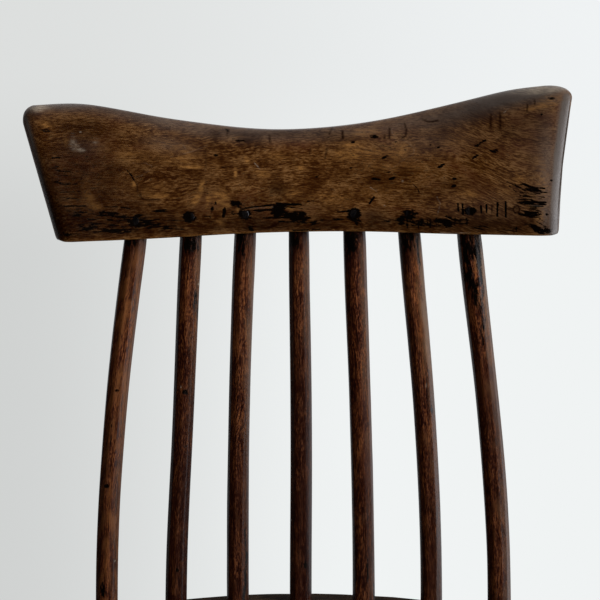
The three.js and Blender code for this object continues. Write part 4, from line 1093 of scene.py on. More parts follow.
def shaved_rod(name, axis, rows, columns, seed, cuts=120, sides=8, share=0.55, uneven=0.005, trim=0.0003):
    """Rings c + h1 r cos(a) e1 + h2 r sin(a) e2, with c, h1, h2 measured and r the shaved flats.

    Noise read off a cylinder round the rod turns and rolls the flats. The wood of each rod lies in
    another place for its seed, so that no two have the same grain."""
    start, end, middle, half = measured_rod(name, axis, cuts)
    level = np.linspace(start, end - trim, rows)[:, None]
    angle = np.linspace(0, 2 * np.pi, columns, endpoint=False)[None, :] + 0 * level
    first, second = [(1, 2), (0, 2), (0, 1)][axis]
    turned = np.stack([
        level + 0 * angle, rod_turn_radius * np.cos(angle), rod_turn_radius * np.sin(angle),
    ], axis=-1)
    lay = angle + flat_wander * rolling(turned, flat_wander_length, seed) + flat_lean * np.sin(angle + seed)
    rolled = uneven * rolling(turned, rod_roll_length, seed + rod_roll_seed)
    radius = flats(lay, sides, share) * (1 + rolled)
    points = np.zeros((rows, columns, 3))
    points[..., axis] = level
    points[..., first] = middle[first](level) + half[first](level) * radius * np.cos(angle)
    points[..., second] = middle[second](level) + half[second](level) * radius * np.sin(angle)
    wood = np.zeros_like(points)
    wood[..., 0] = level + wood_step_along * seed
    wood[..., 1] = points[..., first] - middle[first](level) + wood_step_across * seed
    wood[..., 2] = points[..., second] - middle[second](level)
    return points, wood


# %% [markdown]
# Each long stick has a character of its own. Some are browner and some nearly black, some grow
# darker further down, all are sooty and carry a painted shadow where they enter the comb, and the one
# at the right is charred and flaking below it. The side towards the window carries a painted grey
# sheen, most of all near the comb, and the other side is painted dark as shade. Levels that change
# down a stick are given for a few rows of the picture, one tuple for a stick.

# %% Looks of the long sticks
stick_gold_levels = (0.4, 0.08, 0.16, 0.03, 0.1, 0.16, 0.2)
sheen_rows = (240, 320, 420, 540)
stick_sheens = (
    (0.75, 0.8, 0.8, 0.75),
    (0.9, 0.8, 0.35, 0.12),
    (1, 1, 0.75, 0.4),
    (0.95, 0.8, 0.35, 0.05),
    (0.9, 0.8, 0.6, 0.3),
    (1.15, 1.2, 0.65, 0.3),
    (1.2, 0.85, 0.65, 0.65),
)
stick_dark_rows = (270, 335, 410, 490, 560)
stick_darks = (
    (0, 0, 0.2, 0.35, 0.2),
    (0.05, 0.18, 0.4, 0.55, 0.55),
    (0.2, 0.25, 0.3, 0.5, 0.4),
    (0.15, 0.28, 0.5, 0.55, 0.5),
    (0.05, 0, 0.1, 0.2, 0.25),
    (0, 0, 0.2, 0.25, 0.4),
    (0, 0.15, 0.5, 0.4, 0.4),
)
# How strongly each stick carries the painted grey sheen on its side towards the window.
stick_sheen_grey_levels = (0.35, 0.45, 0.55, 0.5, 0.45, 0.65, 0.7)
stick_stain_spots = [
    (131, 241, 12, 7, 8, 0.7), (189, 243, 12, 13, -20, 0.85), (241, 240, 9, 14, 0, 0.8),
    (293, 239, 9, 15, 0, 0.8), (349, 240, 10, 17, 0, 0.85), (406, 240, 11, 13, 0, 0.85),
    (466, 262, 6, 34, -8, 0.8), (474, 246, 9, 14, -8, 0.75), (472, 284, 4, 22, -10, 0.6),
    (480, 270, 3, 24, -8, 0.7), (478, 292, 5, 12, 0, 0.6), (482, 311, 4, 12, -8, 0.55),
    (484, 326, 3, 10, -8, 0.5), (117.5, 390.5, 3, 1.6, 0, 0.8), (107, 486, 3.4, 2.4, 0, 0.9),
    (115, 500, 4, 16, 0, 0.35), (103, 590, 3, 8, 0, 0.9), (185.6, 392, 3, 2.8, 0, 1),
    (185, 447, 2.6, 2.8, 0, 0.6), (178, 570, 2.6, 3, 0, 0.6), (304, 565, 4, 6, 0, 0.7),
    (195, 300, 3, 20, 0, 0.5), (431.5, 409, 1.4, 6, -6, 0.95), (419, 262, 2, 22, -6, 0.5),
    (420.7, 555, 2, 2, 0, 0.7), (244, 262, 3, 20, 0, 0.45),
]
stick_stain_strokes = [
    (112, 424, 110, 453, 0.9, 0.6), (367, 553, 368, 583, 1.0, 0.8), (374, 583, 374, 599, 1.0, 0.8),
    (196, 292, 198, 320, 0.8, 0.7), (247, 553, 244, 600, 1.4, 1), (244.5, 529, 246.5, 553, 1.0, 0.6),
    (233, 573, 243, 570, 0.7, 0.7), (481, 330, 484, 345, 1.0, 0.7),
]
stick_gold_spots = [
    (135, 262, 4, 14, 8, 0.55), (124, 320, 4, 40, 7, 0.3), (476, 262, 1.6, 12, -5, 0.8),
    (474, 287, 3.4, 4, 0, 0.8), (478, 302, 2.6, 8, 0, 0.6), (416, 275, 2, 25, -4, 0.6),
    (362, 300, 2, 30, 0, 0.3), (423, 332, 6, 36, -4, 0.45),
]
stick_pale_spots = [
    (198.6, 284, 1.1, 1.4, 0, 1), (181, 387, 0.9, 1.6, 0, 0.6), (115, 561, 1, 1.1, 0, 0.8),
    (426, 386, 1, 3, 10, 0.5), (132, 301, 0.8, 8, 6, 0.3), (128, 322, 0.8, 5, 0, 0.25),
]
print("stains of the sticks:", len(stick_stain_spots), "and strokes:", len(stick_stain_strokes))

# %% [markdown]
# The rings of a stick are the shaved rounds, and where the real ones are a little stouter than plain
# cuts say, the right flank swells by a millimetre or so. Then each point asks how far round towards
# the window it lies. That share decides between a painted grey sheen and painted shade, and soot with
# a painted shadow fades below the comb.

# %% Long sticks
stick_rows, stick_columns, stick_cuts = 640, 72, 160
swell_rows, stick_swells = (245, 290, 400), (0.0007, 0.0002, 0.0006)
stout_stick, stout_swell, stout_row, stout_rows = 6, 0.0013, 465, 80
soot_shadow_length, soot_shadow_slant, soot_shadow_strength = 0.021, 0.009, 0.85
stick_front_depth = 0.004
streak_squeeze, streak_length, streak_seed, streak_waves = (1, 1, 0.1), 0.007, 70, 24
stick_rear_stain, stick_rear_gold, stick_fleck = 0.1, 0.15, 0.3
shade_strength, unlit_strength = 0.62, 0.85


def stick_side(u):
    """-1 at the left flank of each ring of a stick, 0 in its middle and 1 at the right flank."""
    return (u - u.mean(1, keepdims=True)) / (np.ptp(u, axis=1, keepdims=True) / 2)


def swelled(points, i):
    """The right flank stands out a little: x + (a(v) + b exp(-((v - row) / rows)^2)) (1 + side) / 2."""
    u, v = shown_at(points)
    stout = stout_swell if i == stout_stick else 0
    swell = np.interp(v, swell_rows, stick_swells) + stout * np.exp(-(((v - stout_row) / stout_rows) ** 2))
    return points + (swell * (1 + stick_side(u)) / 2)[..., None] * x_axis


def stick_finish_marks(points, i):
    """Stains, rubbed stretches and pale nicks, then a left flank of painted shade, a right one of painted
    grey sheen, and flecks.

    The flanks are ramps of the side, shifted by streaks: clip((side - 0.22) / 0.5) and
    clip((-side - 0.16) / 0.4). Soot with painted shadow is 0.85 exp(-(drop below the comb / length)^2)."""
    u, v = shown_at(points)
    side = stick_side(u)
    front = points[..., 1] < points[..., 1].mean(1, keepdims=True) + stick_front_depth
    streaks = rolling(points * streak_squeeze, streak_length, i + streak_seed, streak_waves)
    sheen = np.interp(v, sheen_rows, stick_sheens[i])
    band = np.clip((side - 0.22 + 0.16 * streaks) / 0.5, 0, 1)
    stain = np.maximum(spots(u, v, stick_stain_spots), strokes(u, v, stick_stain_strokes))
    gold = joined(spots(u, v, stick_gold_spots), np.clip(stick_gold_levels[i] * (1 + streaks), 0, 1))
    pale = spots(u, v, stick_pale_spots)
    rear = (stick_rear_stain, stick_rear_gold, 0)
    marks = [np.where(front, *pair) for pair in zip((stain, gold, pale), rear)]
    # Painted shade on the flank away from the window.
    shade_side = shade_strength * np.clip((-side - 0.16 + 0.1 * streaks) / 0.4, 0, 1)
    unlit = unlit_strength * np.clip(1 - sheen, 0, 1)
    dark = joined(shade_side, unlit * np.clip(side + 0.7, 0, 1))
    dark = joined(dark, np.interp(v, stick_dark_rows, stick_darks[i]))
    # Soot with a painted shadow below the comb, reaching further down on the left flank.
    drop = np.clip(comb_foot_height - points[..., 2], 0, None)
    dark = joined(dark, soot_shadow_strength * np.exp(-((drop / (soot_shadow_length - soot_shadow_slant * side)) ** 2)))
    # Painted grey sheen on the flank towards the window.
    shades = [dark, stick_sheen_grey_levels[i] * sheen * band, stick_fleck + 0 * side]
    return np.stack(marks, axis=-1), np.stack(shades, axis=-1)


for i in range(7):
    name = f"long_stick_{i + 1}"
    points, wood = shaved_rod(name, 2, stick_rows, stick_columns, i + 1, stick_cuts)
    points = swelled(points, i)
    stick = skin(f"stick_long_{i + 1}", points, wood, *stick_finish_marks(points, i))
    hand_over(stick, stick_finish, "stick_wood", name)

# %% [markdown]
# Round pins through the comb lock the sticks. They were whittled from a dry twig and knocked in, so
# they stand a hair proud and are not quite round, and a painted highlight lies on the side towards
# the window.

# %% Pegs of the comb
peg_rows, peg_columns = 24, 28
peg_sides, peg_flat_share, peg_uneven_turn = 8, 0.4, 0.2
peg_end_round = 0.0007
level_share = 0.9
# Place, width and strength of the painted highlight arc, and the golden pith.
highlight_radius, highlight_width, highlight_strength = 0.84, 0.09, 0.55
pith_radius, pith_gold = 0.4, 0.3


def peg_skin(name, seed):
    """A whittled pin: rings round the line along which its solid is spread most, rounded at both ends.

    The rings lie at a cosine of even steps, so that most of them are at the ends."""
    points = edges_of(name).reshape(-1, 3)
    middle = points.mean(0)
    spread = points - middle
    way = np.linalg.svd(spread, full_matrices=False)[2][0]
    way = way if way[1] + way[2] < 0 else -way
    along = spread @ way
    across = spread - along[:, None] * way
    radius = np.linalg.norm(across, axis=1).max()
    side = np.cross(way, x_axis) if abs(way @ x_axis) < level_share else np.cross(way, y_axis)
    side /= np.linalg.norm(side)
    other = np.cross(way, side)
    s = np.linspace(0, np.pi, peg_rows)[:, None]
    reach = along.min() + (along.max() - along.min()) * (1 - np.cos(s)) / 2
    edge = np.minimum(reach - along.min(), along.max() - reach)
    angle = np.linspace(0, 2 * np.pi, peg_columns, endpoint=False)[None, :]
    lay = angle + peg_uneven_turn * np.sin(angle + seed)
    size = (radius - drawn_in(edge, peg_end_round)) * flats(lay, peg_sides, peg_flat_share)
    rings = middle + reach[..., None] * way + (size * np.cos(angle))[..., None] * side
    rings = rings + (size * np.sin(angle))[..., None] * other
    wood = np.stack([reach + 0 * angle + seed, size * np.cos(angle), size * np.sin(angle)], axis=-1)
    return rings, wood


def peg_painted_highlight(points, place):
    """A painted highlight, as a pale arc inside the rim on the right: exp(-((r - 0.84) / 0.09)^2) times
    cos^2 of the turn, with r as a share of the peg's radius, and a golden pith in the middle."""
    u, v = shown_at(points)
    reach = np.ptp(u) / 2
    a, b = (u - place[0]) / reach, (v - place[1]) / reach
    r = np.hypot(a, b)
    arc = np.exp(-(((r - highlight_radius) / highlight_width) ** 2))
    arc = arc * np.clip((a - 0.3 * b) / (r + 0.01), 0, 1) ** 2
    return np.stack([0 * arc, pith_gold * (r < pith_radius), highlight_strength * arc], axis=-1)


for i, name in enumerate(peg_names):
    points, wood = peg_skin(name, i)
    peg = skin(f"pin_comb_{i + 1}", points, wood, peg_painted_highlight(points, peg_shown[i]))
    hand_over(peg, peg_finish, "peg_wood", name)

# %% [markdown]
# The arm bow is made of two arms that meet behind the sitter, with a crest across the joint. To
# follow it, a plane is swung round an upright line inside the bow, and each cut gives the inner and
# the outer edge. Their middles make the line of the bow, and the section is carried along it.

# %% Measure a bow piece
arm_low, arm_high = (np.array(corner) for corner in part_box("arm_left"))
bow_hub = np.array([0, (arm_low[1] + arm_high[1]) / 2, 0])
bow_cuts, bow_evening = 160, 4
bow_roll_length, bow_short_roll_length = 0.09, 0.03
line_step = 0.001
widest_swing = 1.2 * np.pi


def swung_cut(name, hub, angle):
    """Distance from an upright line through a hub, and height, of the points on the half plane."""
    way = np.array([math.cos(angle), math.sin(angle), 0])
    normal = np.array([-way[1], way[0], 0])
    points = saw_cut(name, normal, normal @ hub)
    out = (points - hub) @ way
    return out[out > 0], points[out > 0, 2]


def bow_line(name, start, end):
    """Length, middle line, half width, foot and top of a bow piece between two angles, by swung cuts.

    Half width = half of (outer - inner).n, with n level and square to the middle line."""
    rows = []
    for angle in np.linspace(start, end, bow_cuts):
        out, up = swung_cut(name, bow_hub, angle)
        rows.append([angle, out.min(), out.max(), up.min(), up.max()])
    rows = np.array(rows)
    way = np.stack([np.cos(rows[:, 0]), np.sin(rows[:, 0])], axis=1)
    inner, outer = (bow_hub[:2] + way * rows[:, k : k + 1] for k in (1, 2))
    middle = (inner + outer) / 2
    step = np.linalg.norm(np.diff(middle, axis=0), axis=1)
    length = np.concatenate([[0], np.cumsum(step)])
    line = [evened(length, column, bow_evening) for column in middle.T]
    heading = np.stack([np.gradient(part(length), length) for part in line], axis=1)
    heading /= np.linalg.norm(heading, axis=1, keepdims=True)
    square = np.stack([-heading[:, 1], heading[:, 0]], axis=1)
    width = np.abs(((outer - inner) * square).sum(1)) / 2
    return length, line, evened(length, width, bow_evening), rows[:, 3], rows[:, 4]


def carried(line, along, across, up):
    """Point = line(s) + across n(s), with n square to the line and level, and up as the height."""
    middle = np.stack([part(along) for part in line], axis=-1)
    heading = np.stack([part(along + line_step) - part(along - line_step) for part in line], axis=-1)
    heading /= np.linalg.norm(heading, axis=-1, keepdims=True)
    square = np.stack([heading[..., 1], -heading[..., 0]], axis=-1)
    flat = middle + square * across[..., None]
    return np.concatenate([flat, up[..., None]], axis=-1)


def swing_range(name):
    """First and last angle of a bow piece, seen from the hub, counted on past half a turn if need be."""
    points = edges_of(name).reshape(-1, 3) - bow_hub
    angles = np.sort(np.arctan2(points[:, 1], points[:, 0]))
    if angles[-1] - angles[0] > widest_swing:
        angles = np.sort(np.mod(angles, 2 * np.pi))
    return angles[0], angles[-1]


for name in ("arm_left", "arm_right", "bow_crest"):
    print(name, "spans", [round(math.degrees(a), 1) for a in swing_range(name)], "degrees")

# %% [markdown]
# An arm is sawn out of a plank and rounded over with a file, most of all at the hand, where it ends
# in a soft nose. Behind, it butts flat against the other arm. The section of the arm is carried
# along its line with more rows near the hand, and its first rows are made to lie in the joint.

# %% Arms
arm_rows, arm_counts = 420, (10, 10, 7, 34)
arm_round = 0.0055
hand_rows, hand_length, hand_round = 60, 0.04, 0.027
hand_edge_share = 1 / 3
arm_rise_roll, arm_width_roll = 0.012, 0.006
hand_wear, hand_wear_length = 0.55, 0.3
arm_grime, arm_wear, arm_wear_length = 0.25, 0.2, 0.15
joint_margin = math.radians(2.4)
joint_clearance = 0.0006
joint_easing = 0.03
hand_margin = math.radians(9)


def joint_face(name, other):
    """Middle and normal, seen from above, of the end that butts against the other arm.

    Its points are those with a neighbour on the other arm, and the normal is square to the line from
    the foremost to the rearmost of them."""
    own, facing = (np.unique(edges_of(arm).reshape(-1, 3)[:, :2], axis=0) for arm in (name, other))
    apart = np.linalg.norm(own[:, None] - facing, axis=-1).min(axis=1)
    face = own[apart < joint_clearance]
    front, rear = face[face[:, 1].argmin()], face[face[:, 1].argmax()]
    normal = np.array([rear[1] - front[1], front[0] - rear[0]]) / np.linalg.norm(rear - front)
    return (front + rear) / 2, normal


def arm_skin(name, other, side):
    """The section runs from the joint to the hand, and draws in over the rounded end of the hand.

    The first whole cut lies past the joint, so the line is carried straight back to the joint. Its
    first rows are shifted into the joint's face: p - n (p0 - middle).n (1 - s / easing)."""
    first, last = swing_range(name)
    start, end = first + joint_margin, last - hand_margin
    if side > 0:
        start, end = last - joint_margin, first + hand_margin
    length, line, width_at, foot, top = bow_line(name, start, end)
    beginning, ahead = (np.array([part(s) for part in line]) for s in (0.0, line_step))
    heading = (ahead - beginning) / np.linalg.norm(ahead - beginning)
    joint_middle, joint_normal = joint_face(name, other)
    joint = (joint_middle - beginning) @ heading
    print(name, "starts", round(joint * 1000, 1), "mm before its first whole cut")
    tip_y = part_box(name)[0][1]
    reach = length[-1] + (line[1](length[-1]) - tip_y)
    along = np.concatenate([
        np.linspace(joint, reach - hand_length, arm_rows - hand_rows),
        reach - hand_length * np.cos(np.linspace(0, np.pi / 2, hand_rows + 1))[1:],
    ])[:, None]
    tip = reach - along
    drawn = drawn_in(tip, hand_round)
    ease = np.minimum(drawn * hand_edge_share, arm_round)
    low, high = foot.min() + ease, np.median(top) - ease

    def half_at(up):
        """Half width of each row, less what the hand has drawn in, the same at every height."""
        return width_at(np.minimum(along, length[-1])) - drawn + 0 * up

    across, up = rounded_section(low, high, half_at, [arm_round] * 4, arm_counts)
    along = along + 0 * across
    wood = np.stack([along + side, across, up - low], axis=-1)
    roll = rolling(wood, bow_roll_length, 31) + 0.4 * rolling(wood, bow_short_roll_length, 32)
    middle = (low + high) / 2
    up = middle + (up - middle) * (1 + arm_rise_roll * (roll - 1))
    points = carried(line, along, across * (1 + arm_width_roll * roll), up)
    short_of = (points[:1, :, :2] - joint_middle) @ joint_normal
    easing = np.clip(1 - (along - joint) / joint_easing, 0, 1)
    points[..., :2] -= (short_of * easing)[..., None] * joint_normal
    wear = np.clip(hand_wear - tip / hand_wear_length, 0, 1)
    wear = wear + np.clip(arm_wear * rolling(wood, arm_wear_length, 33), 0, 1)
    marks = np.stack([arm_grime + 0 * wear, wear, 0 * wear], axis=-1)
    return points, wood, marks


for name, other, side in (("arm_left", "arm_right", -1), ("arm_right", "arm_left", 1)):
    hand_over(skin(f"bow_{name}", *arm_skin(name, other, side)), bow_finish, "bow_wood", name)

# %% [markdown]
# The crest is a third piece that lies over the joint of the arms and pins them together. It is high
# in the middle and thins to nothing at both ends. So its section takes both its width and its height
# from the cuts, and the rounding of its top shrinks with its height. Four pegs go down through it.

# %% Crest
crest_rows, crest_counts = 380, (16, 14, 7, 26)
crest_round, crest_round_share = 0.0065, 0.4
crest_under_round = 0.002
crest_end_margin = math.radians(0.25)
crest_roll_length = 0.08
crest_width_roll, crest_rise_roll = 0.008, 0.0003
crest_grime, crest_grime_roll, crest_wear = 0.2, 0.15, 0.2
crest_peg_seed = 20


def crest_skin():
    """The section is as wide and as high as the cuts say, with a soft top and a crisp foot: the round
    of the top is 6.5 mm, but never more than 0.4 of the height."""
    first, last = swing_range("bow_crest")
    start, end = first + crest_end_margin, last - crest_end_margin
    length, line, width_at, foot, top = bow_line("bow_crest", start, end)
    top_at = evened(length, top)
    along = np.linspace(0, length[-1], crest_rows)[:, None]
    high, low = top_at(along), foot.min() + 0 * along
    soft = np.minimum(crest_round, crest_round_share * (high - low))

    def half_at(up):
        """Half width of each row, the same at every height."""
        return width_at(along) + 0 * up

    rounds = [crest_under_round, soft, soft, crest_under_round]
    across, up = rounded_section(low, high, half_at, rounds, crest_counts)
    along = along + 0 * across
    wood = np.stack([along, across, up - low], axis=-1)
    roll = rolling(wood, crest_roll_length, 41) + 0.4 * rolling(wood, bow_short_roll_length, 42)
    up = up - crest_rise_roll * np.abs(roll)
    points = carried(line, along, across * (1 + crest_width_roll * roll), up)
    grime = np.clip(crest_grime + crest_grime_roll * roll, 0, 1)
    marks = np.stack([grime, crest_wear + 0 * roll, 0 * roll], axis=-1)
    return points, wood, marks


hand_over(skin("bow_crest_rail", *crest_skin()), bow_finish, "bow_wood", "bow_crest")
for i in range(1, 5):
    points, wood = peg_skin(f"crest_peg_{i}", i + crest_peg_seed)
    hand_over(skin(f"pin_crest_{i}", points, wood, 0 * wood), peg_finish, "peg_wood", f"crest_peg_{i}")

# %% [markdown]
# Four short sticks on each side carry the arms. They are shaved like the long ones, from the same
# split wood, so one loop makes them with the same function. Nobody rubs them, so they are dull and a
# little darker, and their wear is left to chance.

# %% Short sticks
short_rows, short_columns, short_cuts = 240, 44, 50
short_stick_shade = np.array([0.4, 0.0, 0.2])
plain_grime, plain_wear, plain_wear_length = 0.2, 0.25, 0.1

for side, first_seed in (("left", 100), ("right", 110)):
    for number in range(1, 5):
        name, seed = f"short_stick_{side}_{number}", first_seed + number
        points, wood = shaved_rod(name, 2, short_rows, short_columns, seed, short_cuts)
        marks = chance_marks(points, plain_grime, plain_wear, plain_wear_length, seed)
        made = skin(f"stick_{side}_{number}", points, wood, marks, short_stick_shade + 0 * points)
        hand_over(made, dull_stick_finish, "stick_wood", name)

# %% [markdown]
# The seat is one wide plank, rounded behind and squarer in front, hollowed a little where the sitter
# sits, and chamfered underneath so that its edge looks thin. Swung cuts give its outline, and a few
# waves of a Fourier series make that outline smooth.

# %% Seat outline
seat_low, seat_high = (np.array(corner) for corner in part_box("seat"))
seat_cut_count = 120
seat_waves = 14
seat_edge_share = 0.998


def seat_plane():
    """Slope of the underside, from its lowest points in front and behind, and heights of both faces."""
    points = edges_of("seat").reshape(-1, 3)
    halfway = (seat_low[1] + seat_high[1]) / 2
    front, rear = points[points[:, 1] < halfway], points[points[:, 1] >= halfway]
    low_front, low_rear = front[front[:, 2].argmin()], rear[rear[:, 2].argmin()]
    slope = (low_rear[2] - low_front[2]) / (low_rear[1] - low_front[1])
    level = points[:, 2] - slope * points[:, 1]
    return slope, level.min(), level.max()


seat_slope, seat_under, seat_over = seat_plane()
seat_hub = np.array([0, (seat_low[1] + seat_high[1]) / 2, 0])


def seat_reach():
    """Distance from the hub to the edge at even angles, kept to its first waves."""
    angles = np.linspace(0, 2 * np.pi, seat_cut_count, endpoint=False)
    reach = [seat_edge_share * swung_cut("seat", seat_hub, angle)[0].max() for angle in angles]
    waves = np.fft.rfft(reach)
    waves[seat_waves:] = 0
    return waves


seat_edge_waves = seat_reach()


def seat_edge(angle):
    """Fourier series: sum of real and imaginary parts of the waves at an angle."""
    order = np.arange(seat_waves)
    weight = np.where(order == 0, 1, 2) / seat_cut_count
    turn = np.exp(1j * angle[..., None] * order)
    return (turn * seat_edge_waves[:seat_waves] * weight).real.sum(-1)


print("seat slope", round(math.degrees(math.atan(seat_slope)), 2), "degrees, thickness",
      round(seat_over - seat_under, 4))

# %% [markdown]
# The top is hollowed with an adze and a scraper, so its dish rolls gently and its edge is soft. Below
# a short upright edge, a wide chamfer makes the plank look thin. Rings run from the middle of the
# top, over the edge and under, and each is the outline brought in by some distance at some depth.

# %% Seat surface
seat_columns = 400
seat_top_rings, seat_round_rings, seat_wall_rings = 120, 8, 10
seat_chamfer_rings, seat_under_rings = 13, 59
seat_chamfer_width = 0.026
seat_chamfer_height = 0.018
seat_edge_round = 0.006
seat_dish_depth = 0.009
seat_dish_half_width_share = 0.74
seat_dish_half_depth_share = 0.69
seat_dish_power = 1.2
seat_middle_share = 0.02
seat_roll_depth, seat_roll_length, seat_short_roll_length = 0.0004, 0.12, 0.04
seat_base_grime, seat_edge_and_under_dark, seat_grime_roll_length = 0.1, 0.45, 0.09
seat_gold_reach, seat_gold_strength = 1.1, 0.4
seat_grime_start, seat_grime_rise, seat_grime_limit = 0.9, 0.6, 0.35


def seat_rings(edge):
    """How far in from the edge, and how far below the top, each ring of the seat lies."""
    bend = np.linspace(0, np.pi / 2, seat_round_rings + 1)[1:, None]
    thick = seat_over - seat_under
    inner = np.linspace(seat_middle_share, 1, seat_top_rings)[:, None]
    chamfer = np.linspace(0, 1, seat_chamfer_rings + 1)[1:, None]
    under = np.linspace(0, 1 - seat_middle_share, seat_under_rings + 1)[1:, None]
    wall = np.linspace(seat_edge_round, thick - seat_chamfer_height, seat_wall_rings + 1)[1:, None]
    inset = np.concatenate([
        (1 - inner) * (edge - seat_edge_round) + seat_edge_round,
        seat_edge_round * (1 - np.sin(bend)) + 0 * edge,
        0 * wall * edge,
        seat_chamfer_width * chamfer + 0 * edge,
        seat_chamfer_width + (edge - seat_chamfer_width) * under,
    ])
    below = np.concatenate([
        0 * inner,
        seat_edge_round * (1 - np.cos(bend)),
        wall,
        thick - seat_chamfer_height * (1 - chamfer),
        thick + 0 * under,
    ])
    return inset, below + 0 * edge


def seat_skin():
    """Point = (r cos a, r sin a) with r = edge - inset, at the top's height less below and the dish.

    Dish = depth (1 - (x / a)^2 - (y / b)^2)^1.2 where that is positive, and gold lies in it."""
    angle = np.linspace(0, 2 * np.pi, seat_columns, endpoint=False)[None, :]
    edge = seat_edge(angle)
    inset, below = seat_rings(edge)
    out = edge - inset
    x, y = out * np.cos(angle), out * np.sin(angle) + seat_hub[1]
    half_width = (seat_high[0] - seat_low[0]) / 2 * seat_dish_half_width_share
    half_depth = (seat_high[1] - seat_low[1]) / 2 * seat_dish_half_depth_share
    reach = (x / half_width) ** 2 + ((y - seat_hub[1]) / half_depth) ** 2
    on_top, upper_half = below == 0, below < (seat_over - seat_under) / 2
    dish = seat_dish_depth * np.clip(1 - reach, 0, 1) ** seat_dish_power * on_top
    wood = np.stack([x, y, -below], axis=-1)
    roll = rolling(wood, seat_roll_length, 51) + 0.3 * rolling(wood, seat_short_roll_length, 52)
    z = seat_over + seat_slope * y - below - dish - seat_roll_depth * (1 + roll) * upper_half
    gold = np.clip(seat_gold_reach - reach, 0, 1) * on_top * seat_gold_strength
    grime = np.clip(seat_grime_rise * (reach - seat_grime_start), 0, seat_grime_limit) * on_top
    # Darker over the rounded edge, the side, the chamfer and the underside.
    grime = grime + seat_edge_and_under_dark * np.clip(below / seat_edge_round, 0, 1)
    grime = grime * (1 + 0.3 * rolling(wood, seat_grime_roll_length, 53))
    nothing = 0 * gold
    marks = np.stack([seat_base_grime + nothing, gold, nothing], axis=-1)
    return np.stack([x, y, z], axis=-1), wood, marks, np.stack([grime, nothing, nothing], axis=-1)


hand_over(skin("seat_plank", *seat_skin()), seat_finish, "seat_wood", "seat")

# %% [markdown]
# Legs and stretchers are the stoutest rounds, shaved with a drawknife to ten or nine flats. The legs
# taper and splay, and go right through the seat. The two side stretchers run from front to back and
# the cross stretcher between them, so they are cut along other axes than the legs.

# %% Legs and stretchers
leg_rows, leg_columns, leg_sides, leg_uneven = 360, 64, 10, 0.008
stretcher_rows, stretcher_columns, stretcher_cuts, stretcher_sides = 260, 48, 80, 9
leg_wear_length, stretcher_wear = 0.12, 0.3

for place in ("front_left", "front_right", "rear_left", "rear_right"):
    name = f"leg_{place}"
    seed = 200 + len(place) + 7 * place.count("left")
    points, wood = shaved_rod(name, 2, leg_rows, leg_columns, seed, sides=leg_sides, uneven=leg_uneven)
    marks = chance_marks(points, plain_grime, plain_wear, leg_wear_length, seed)
    hand_over(skin(f"turned_{name}", points, wood, marks), leg_finish, "leg_wood", name)

for name, axis in (("stretcher_left", 1), ("stretcher_right", 1), ("stretcher_cross", 0)):
    seed = 300 + axis + len(name)
    points, wood = shaved_rod(
        name, axis, stretcher_rows, stretcher_columns, seed, stretcher_cuts, stretcher_sides, trim=0,
    )
    marks = chance_marks(points, plain_grime, stretcher_wear, plain_wear_length, seed)
    hand_over(skin(f"shaved_{name}", points, wood, marks), leg_finish, "leg_wood", name)

# %% [markdown]
# A wedge is a flat sliver of hard wood, driven into a saw cut in the end of a stick or a leg to
# spread it, and trimmed flush. Only its end shows, as a thin line, and a plain solid says all of
# that. So the wedges keep their solids and get a finish alone.

# %% Wedges keep their solids
wedge_finish = old_wood(
    "wedge_finish", [(22, 16, 12), (38, 28, 20), (52, 38, 26), (66, 50, 34)], length=60, width=900,
    gloss=0.8, specular=0.02,
)
for name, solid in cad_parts.items():
    if "wedge" in name:
        solid.data.materials.clear()
        solid.data.materials.append(wedge_finish)
print("wedges:", sum("wedge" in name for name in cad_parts))

# %% [markdown]
# The setting is a plain pale studio. The world gives the background and a soft light from all
# around, which is a little stronger from the window's side. Only rays that go straight to the
# background, or by way of a shine, see its pale colour, and that backdrop is painted lighter towards
# the right and the top, as painted light from the window.

# %% World
world = bpy.data.worlds.new("studio")
bpy.context.scene.world = world
studio = empty_graph(world)
direction = node(studio, "ShaderNodeTexCoord").outputs["Generated"]
compass = node(studio, "ShaderNodeSeparateXYZ", {0: direction}).outputs
# The backdrop is painted lighter towards the window at the right and towards the top, as painted light.
low_share, high_share = (step_between(studio, compass[0], *ends) for ends in ((-0.19, 0.05), (-0.22, 0.22)))
low_wall = blended(studio, low_share, linear(208, 210, 209), linear(240, 243, 243))
high_wall = blended(studio, high_share, linear(220, 222, 221), linear(240, 243, 244))
painted_light_backdrop = blended(studio, step_between(studio, compass[2], -0.13, 0.0), low_wall, high_wall)
ambient_share = step_between(studio, compass[0], -1.0, 1.0)
ambient = blended(studio, ambient_share, (0.04, 0.04, 0.043, 1), (0.16, 0.165, 0.17, 1))
toward_room = calculate(studio, "MULTIPLY", compass[0], 0.25)
toward_room = calculate(studio, "MULTIPLY_ADD", compass[1], 0.85, toward_room)
toward_room = calculate(studio, "MULTIPLY_ADD", compass[2], 0.35, toward_room)
room_share = step_between(studio, toward_room, 0.0, 1.0)
glossy_wall = blended(studio, room_share, (0.015, 0.015, 0.017, 1), (0.95, 0.97, 1.0, 1))
window_share = step_between(studio, compass[0], 0.8, 0.97)
glossy_wall = blended(studio, window_share, glossy_wall, (5.0, 5.2, 5.5, 1))
path = node(studio, "ShaderNodeLightPath").outputs
shine = calculate(studio, "MAXIMUM", path["Is Glossy Ray"], path["Is Transmission Ray"])
seen = blended(studio, shine, ambient, glossy_wall)
seen = blended(studio, path["Is Camera Ray"], seen, painted_light_backdrop)
background = node(studio, "ShaderNodeBackground", {"Color": seen, "Strength": 1.0})
node(studio, "ShaderNodeOutputWorld", {"Surface": background.outputs[0]})
print("nodes of the world:", len(studio.nodes))

# %% [markdown]
# In the picture the light falls from the right and from a little above. A wide square lamp gives the
# same soft shadows as that window, and weaker ones in front, above and behind lift the shadows. They
# are hidden from shiny surfaces, so that the waxed wood mirrors the pale room and not the lamps.

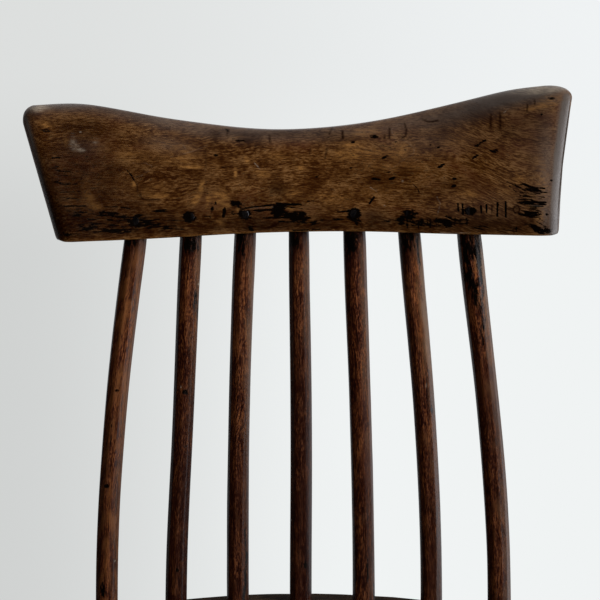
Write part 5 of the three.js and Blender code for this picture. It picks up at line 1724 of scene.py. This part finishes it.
# %% Lamps
def soft_box(name, place, size, power, aim_at):
    """A square lamp that looks at a point: tilt = atan2(level way, drop), turn = atan2(y, x) - 90 deg."""
    lamp = bpy.data.lights.new(name, "AREA")
    lamp.shape = "SQUARE"
    lamp.size = size
    lamp.energy = power
    holder = bpy.data.objects.new(name, lamp)
    holder.location = place
    way = np.array(aim_at) - np.array(place)
    tilt = math.atan2(math.hypot(way[0], way[1]), -way[2])
    holder.rotation_euler = (tilt, 0, math.atan2(way[1], way[0]) - math.pi / 2)
    holder.visible_camera = False
    holder.visible_glossy = False
    bpy.context.scene.collection.objects.link(holder)
    return holder


chair_middle = (0.0, 0.1, 0.85)
soft_box("window", (2.1, -1.4, 1.9), 1.5, 92, chair_middle)
soft_box("front_fill", (0.2, -3.0, 1.5), 2.4, 44, chair_middle)
soft_box("ceiling", (0.6, 1.0, 2.9), 1.8, 44, chair_middle)
soft_box("rear_fill", (-1.2, 2.9, 1.5), 1.8, 30, chair_middle)
print("lamps:", len(bpy.data.lights))

# %% [markdown]
# The floor is below the picture, but from other sides the feet need something to stand on and to
# cast a shadow on. A pale disc does that, and it fades to nothing before its rim, so that it has no
# edge. It lies half a millimetre low, so that the feet are never cut off by it.

# %% Floor
floor_radius = 1.9
floor_fade_start = 0.7
floor_drop = 0.0005
floor_rings, floor_columns = 24, 96


def floor_disc():
    """Rings of a flat disc: r (cos a, sin a), closed to a point in the middle."""
    radius = np.linspace(0, floor_radius, floor_rings)[:, None]
    angle = np.linspace(0, 2 * np.pi, floor_columns, endpoint=False)[None, :]
    level = 0 * radius * angle - floor_drop
    rings = np.stack([radius * np.cos(angle), radius * np.sin(angle), level], axis=-1)
    mesh = bpy.data.meshes.new("floor")
    quads, _ = faces_of(*rings.shape[:2])
    mesh.from_pydata(rings.reshape(-1, 3), [], quads[:, ::-1].tolist())
    mesh.validate()
    made = bpy.data.objects.new("floor", mesh)
    bpy.context.scene.collection.objects.link(made)
    return made


floor = floor_disc()
floor_finish = bpy.data.materials.new("floor_finish")
tree = empty_graph(floor_finish)
floor_place = node(tree, "ShaderNodeTexCoord").outputs["Object"]
floor_reach = node(tree, "ShaderNodeVectorMath", {0: floor_place}, operation="LENGTH").outputs["Value"]
fade = step_between(tree, floor_reach, floor_fade_start, floor_radius)
paint = node(tree, "ShaderNodeBsdfDiffuse", {"Color": linear(226, 228, 227)})
clear = node(tree, "ShaderNodeBsdfTransparent")
faded = node(tree, "ShaderNodeMixShader", {0: fade, 1: paint.outputs[0], 2: clear.outputs[0]})
node(tree, "ShaderNodeOutputMaterial", {"Surface": faded.outputs[0]})
floor.data.materials.append(floor_finish)
print("floor of", len(floor.data.polygons), "faces")
